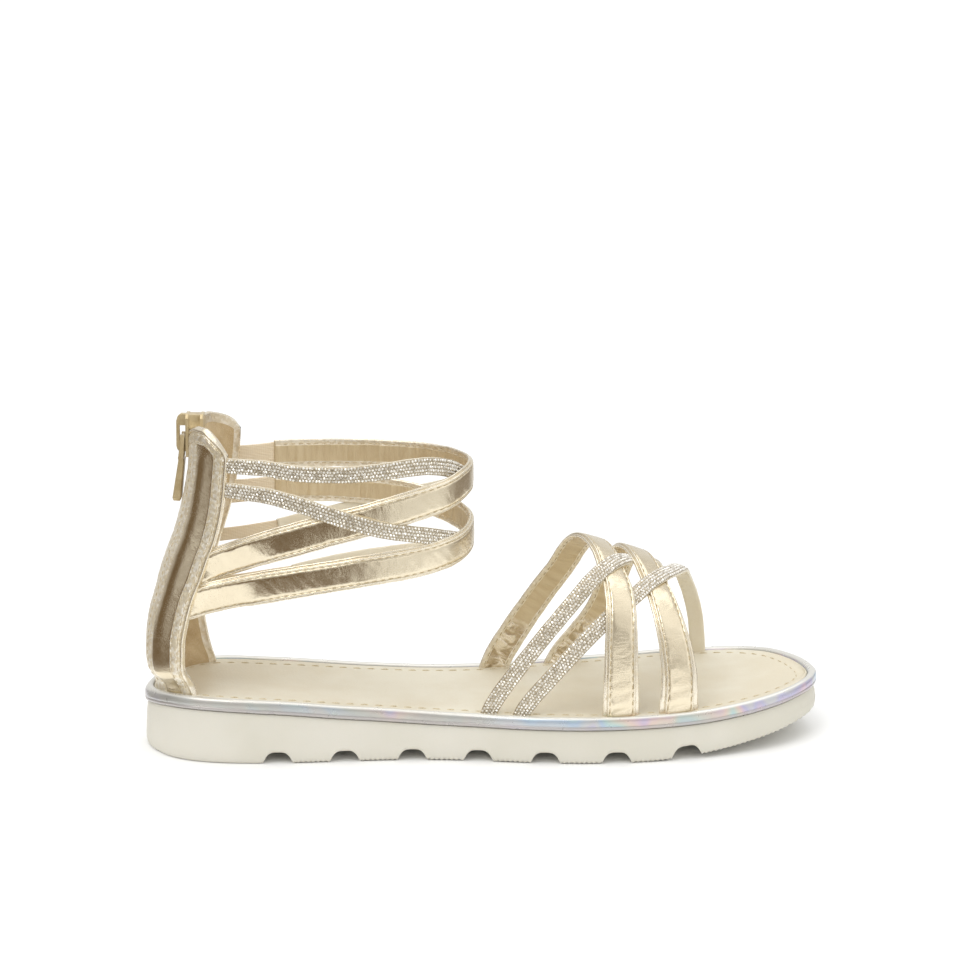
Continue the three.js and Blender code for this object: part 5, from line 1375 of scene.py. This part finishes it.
    for dist in (1.95, 4.0):
        ci = n_cols - 1 - FRONT_COLS.index(dist)
        ri = TOP_ROWS.index(dist)
        col = outer[ri:-2, ci], n[ri:-2, ci]
        row = outer[ri, 4 : ci + 1][::1], n[ri, 4 : ci + 1]
        sew_line(np.vstack([row[0], col[0][1:]]), np.vstack([row[1], col[1][1:]]))
    cb = BACK_COLS.index(3.8)
    sew_line(outer[len(TOP_ROWS) : -2, cb], n[len(TOP_ROWS) : -2, cb], lift=0.0)
    sew.object(name + "_stitching", [M_THREAD], recalc=False, slot="quarter_leather")
    return outer, n, z, u


quarter("lat", 401)
quarter("med", 431)

# ------------------------------------------------------------------ zip


def back_slope(z):
    d = np.array([float(shell["back"](z + 1.5) - shell["back"](z - 1.5)), 3.0])
    return d / np.linalg.norm(d)


def zip_point(z, w, y):
    """w out from the chain's face line, y across, at height z of the centre back."""
    d = back_slope(z)
    return np.array([float(shell["back"](z)) + CHAIN_RECESS + CHAIN_OUT - w * d[1], CENTRE_Y + y, z + w * d[0]])


Z0, Z1 = float(top_z(-100.0)) - 2.6, 98.6
build = Build()
ys = np.linspace(-3.95, 3.95, 21)
zs = np.linspace(Z0, Z1, 150)
face = np.array([[zip_point(z, -CHAIN_IN - 0.12 + 0.03 * math.sin(z * 7), y) for y in ys] for z in zs])
back = np.array([[zip_point(z, -CHAIN_IN - 0.62, y) for y in ys] for z in zs])
build.grid(face)
build.grid(back)
for a, b in ((face[:, 0], back[:, 0]), (face[:, -1], back[:, -1]), (face[0], back[0]), (face[-1], back[-1])):
    build.grid(np.stack([a, b]))
tape = build.object("zip_tape_cloth", [M_TAPE], weld=0.003, slot="zip_fabric", sharp=60)
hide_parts("zip_tape")

build = Build()
pitch = 1.3
tooth_s = np.array([-1, -0.8, -0.3, 0.3, 0.8, 1.0])
for side in (-1, 1):
    z = Z0 + 1.0 + (pitch / 2 if side > 0 else 0)
    while z < 90.5:
        ring = []
        for f, r in zip(np.linspace(0, 1, 7), (0.55, 0.85, 0.92, 0.95, 0.95, 0.85, 0.4)):
            y = side * (2.45 - 3.15 * f)
            out = 0.05 + 0.34 * math.sin(math.pi * min(f * 1.15, 1))
            c = zip_point(z, -CHAIN_IN + 0.35 + out, y)
            d = back_slope(z)
            up, outw = np.array([d[0], 0, d[1]]), np.array([-d[1], 0, d[0]])
            a = np.arange(8) / 8 * TAU
            ring.append(c + (np.cos(a)[:, None] * up * 0.36 + np.sin(a)[:, None] * outw * 0.5) * r)
        idx = build.grid(np.array(ring), 0, loop_v=True)
        build.face(idx[0, :-1][::-1])
        build.face(idx[-1, :-1])
        z += pitch
build.object("zip_teeth", [M_NYLON], slot="zip_fabric")

# bar tack across the foot of the zip
build = Build()
for k in range(9):
    z = Z0 + 6.0 + k * 0.55
    c = [zip_point(z + 0.12 * math.sin(k * 2.1), -0.25, 0.0)]
    stitches(build, c, [[0, 1.0, 0]], [[-1.0, 0, 0]], 6.8, 0.2)
build.object("zip_bar_tack", [M_THREAD_CREAM], recalc=False, slot="zip_fabric")


def rounded(node, name, body, width):
    """A copy of a hard CAD node with its edges eased."""
    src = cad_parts[node]
    me = src.data.copy()
    me.name = name
    bm = bmesh.new()
    bm.from_mesh(me)
    bmesh.ops.remove_doubles(bm, verts=bm.verts, dist=2e-6)
    bmesh.ops.dissolve_limit(bm, angle_limit=math.radians(1.5), verts=bm.verts, edges=bm.edges)
    edges = [e for e in bm.edges if len(e.link_faces) == 2 and e.calc_face_angle(0) > math.radians(28)]
    bmesh.ops.bevel(bm, geom=edges, offset=width * 0.001, offset_type="OFFSET", segments=2, profile=0.6, affect="EDGES", clamp_overlap=True)
    bmesh.ops.recalc_face_normals(bm, faces=bm.faces)
    bm.to_mesh(me)
    bm.free()
    if body == "pull":
        # the tab is fuller on the side that faces the shoe
        co = np.array([v.co[:] for v in me.vertices])
        top = co[:, 2].max() - 0.0085
        tab = co[co[:, 2] < top]
        k, c = np.polyfit(tab[:, 2], tab[:, 0], 1)
        inner = (co[:, 0] > k * co[:, 2] + c) & (co[:, 2] < top + 0.002)
        co[:, 0] += np.where(inner, 0.0010 * step(0.0, 0.003, top + 0.002 - co[:, 2]), 0)
        me.vertices.foreach_set("co", co.ravel())
        me.update()
    me.materials.clear()
    me.materials.append(M_METAL)
    me.polygons.foreach_set("use_smooth", [True] * len(me.polygons))
    me.set_sharp_from_angle(angle=math.radians(50))
    o = bpy.data.objects.new(name, me)
    bpy.context.scene.collection.objects.link(o)
    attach(o, body)
    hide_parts(node)
    return o


rounded("zip_slider", "zip_slider_look", "shoe", 0.16)
rounded("zip_pull", "zip_pull_look", "pull", 0.16)

# ------------------------------------------------------------------ floor, light, camera
scene = bpy.context.scene
scene.view_settings.view_transform = "Standard"

n = Nodes("floor_paper")
n.shader(Base_Color=(0.93, 0.93, 0.925), Roughness=0.9, Specular_IOR_Level=0.2)
me = bpy.data.meshes.new("floor")
me.from_pydata([(-0.145, -0.165, 0), (0.2, -0.165, 0), (0.2, 0.18, 0), (-0.145, 0.18, 0)], [], [(0, 1, 2, 3)])
me.materials.append(n.m)
floor = bpy.data.objects.new("floor", me)
scene.collection.objects.link(floor)
floor.location = (0, 0, -0.00002)

world = bpy.data.worlds.new("studio")
scene.world = world
world.use_nodes = True
wt = world.node_tree
wt.nodes.clear()


class WorldNodes(Nodes):
    def __init__(self, tree):
        self.t = tree


w = WorldNodes(wt)
tc = w.add("ShaderNodeTexCoord")
sep = w.add("ShaderNodeSeparateXYZ")
w.link(tc.outputs["Generated"], sep.inputs[0])
az = w.math("ARCTAN2", sep.outputs[0], w.math("MULTIPLY", sep.outputs[1], -1.0))
front_dark = w.math("MULTIPLY", w.rng(az, -2.9, -2.3), w.rng(az, -0.02, 0.22, 1.0, 0.0))
side_dark = w.math("MULTIPLY", w.math("MULTIPLY", w.rng(az, 1.35, 1.8), w.rng(az, 2.5, 2.85, 1.0, 0.0)), 0.8)
rise = w.rng(az, -1.15, -0.85, 0.34, 0.0)
sides = w.math("MAXIMUM", w.math("MULTIPLY", w.rng(az, -1.22, -1.02), w.rng(az, -0.85, -0.62, 1.0, 0.0)), w.math("MULTIPLY", w.rng(az, -2.15, -1.8, 1.0, 0.0), 0.9))
lighter = w.math("MAXIMUM", w.math("MULTIPLY", sides, w.rng(sep.outputs[2], -0.21, -0.12)), w.math("MULTIPLY", w.rng(az, -1.2, -0.95, 1.0, 0.0), w.rng(sep.outputs[2], -0.42, -0.25, 1.0, 0.0)))
front_dark = w.math("MULTIPLY", front_dark, w.math("MULTIPLY_ADD", lighter, -0.5, 1.0))
low = w.rng(w.math("SUBTRACT", sep.outputs[2], rise), 0.0, 0.12, 1.0, 0.0)
mask = w.math("MULTIPLY", w.math("MAXIMUM", front_dark, side_dark), low)
bright = w.mix(w.rng(sep.outputs[2], 0.2, 0.7), (0.93, 0.92, 0.90), (0.80, 0.785, 0.76))
box = w.math("MULTIPLY", w.math("MULTIPLY", w.rng(az, -0.12, 0.05), w.rng(az, 0.6, 0.85, 1.0, 0.0)),
             w.math("MULTIPLY", w.rng(sep.outputs[2], -0.12, -0.02), w.rng(sep.outputs[2], 0.0, 0.12, 1.0, 0.0)))
veil = w.math("MULTIPLY", w.math("MULTIPLY", w.rng(az, -0.2, 0.0), w.rng(az, 0.9, 1.2, 1.0, 0.0)),
              w.math("MULTIPLY", w.rng(sep.outputs[2], 0.1, 0.24), w.rng(sep.outputs[2], 0.55, 0.8, 1.0, 0.0)))
bright = w.mix(veil, bright, (0.50, 0.475, 0.44))
bright = w.mix(box, bright, (1.45, 1.44, 1.42))
glossy = w.mix(mask, bright, (0.185, 0.128, 0.072))
lp = w.add("ShaderNodeLightPath")
colour = w.mix(lp.outputs["Is Glossy Ray"], (0.97, 0.975, 0.98), glossy)
colour = w.mix(lp.outputs["Is Camera Ray"], colour, (1.3, 1.3, 1.3))
bg = w.add("ShaderNodeBackground")
w.link(colour, bg.inputs[0])
bg.inputs[1].default_value = 0.86
wo = w.add("ShaderNodeOutputWorld")
w.link(bg.outputs[0], wo.inputs[0])


def sun(name, at, power, spread, colour=(1, 1, 1)):
    d = bpy.data.lights.new(name, "SUN")
    d.energy, d.color, d.angle = power, colour, math.radians(spread)
    d.specular_factor = 0.35
    o = bpy.data.objects.new(name, d)
    o.location = at
    o.rotation_mode = "QUATERNION"
    o.rotation_quaternion = (-Vector(at)).to_track_quat("-Z", "Y")
    scene.collection.objects.link(o)


sun("key", (-0.55, -0.75, 1.15), 0.9, 40, (1.0, 0.985, 0.96))
sun("fill", (0.9, -0.5, 0.7), 0.35, 60, (0.98, 0.99, 1.0))
sun("top", (0.1, 0.35, 1.2), 0.7, 60)

pitch_down, turn = math.radians(13.3), math.atan(70 / 3268)
fwd = Vector((-math.sin(turn) * math.cos(pitch_down), math.cos(turn) * math.cos(pitch_down), -math.sin(pitch_down)))
cam = bpy.data.cameras.new("camera")
cam.lens, cam.sensor_width = 122.55, 36
cam.clip_start, cam.clip_end = 0.01, 50
cam_o = bpy.data.objects.new("camera", cam)
cam_o.location = (0.02019, -0.98515, 0.31314)
cam_o.rotation_mode = "QUATERNION"
cam_o.rotation_quaternion = fwd.to_track_quat("-Z", "Y")
scene.collection.objects.link(cam_o)
scene.camera = cam_o

bpy.context.view_layer.update()
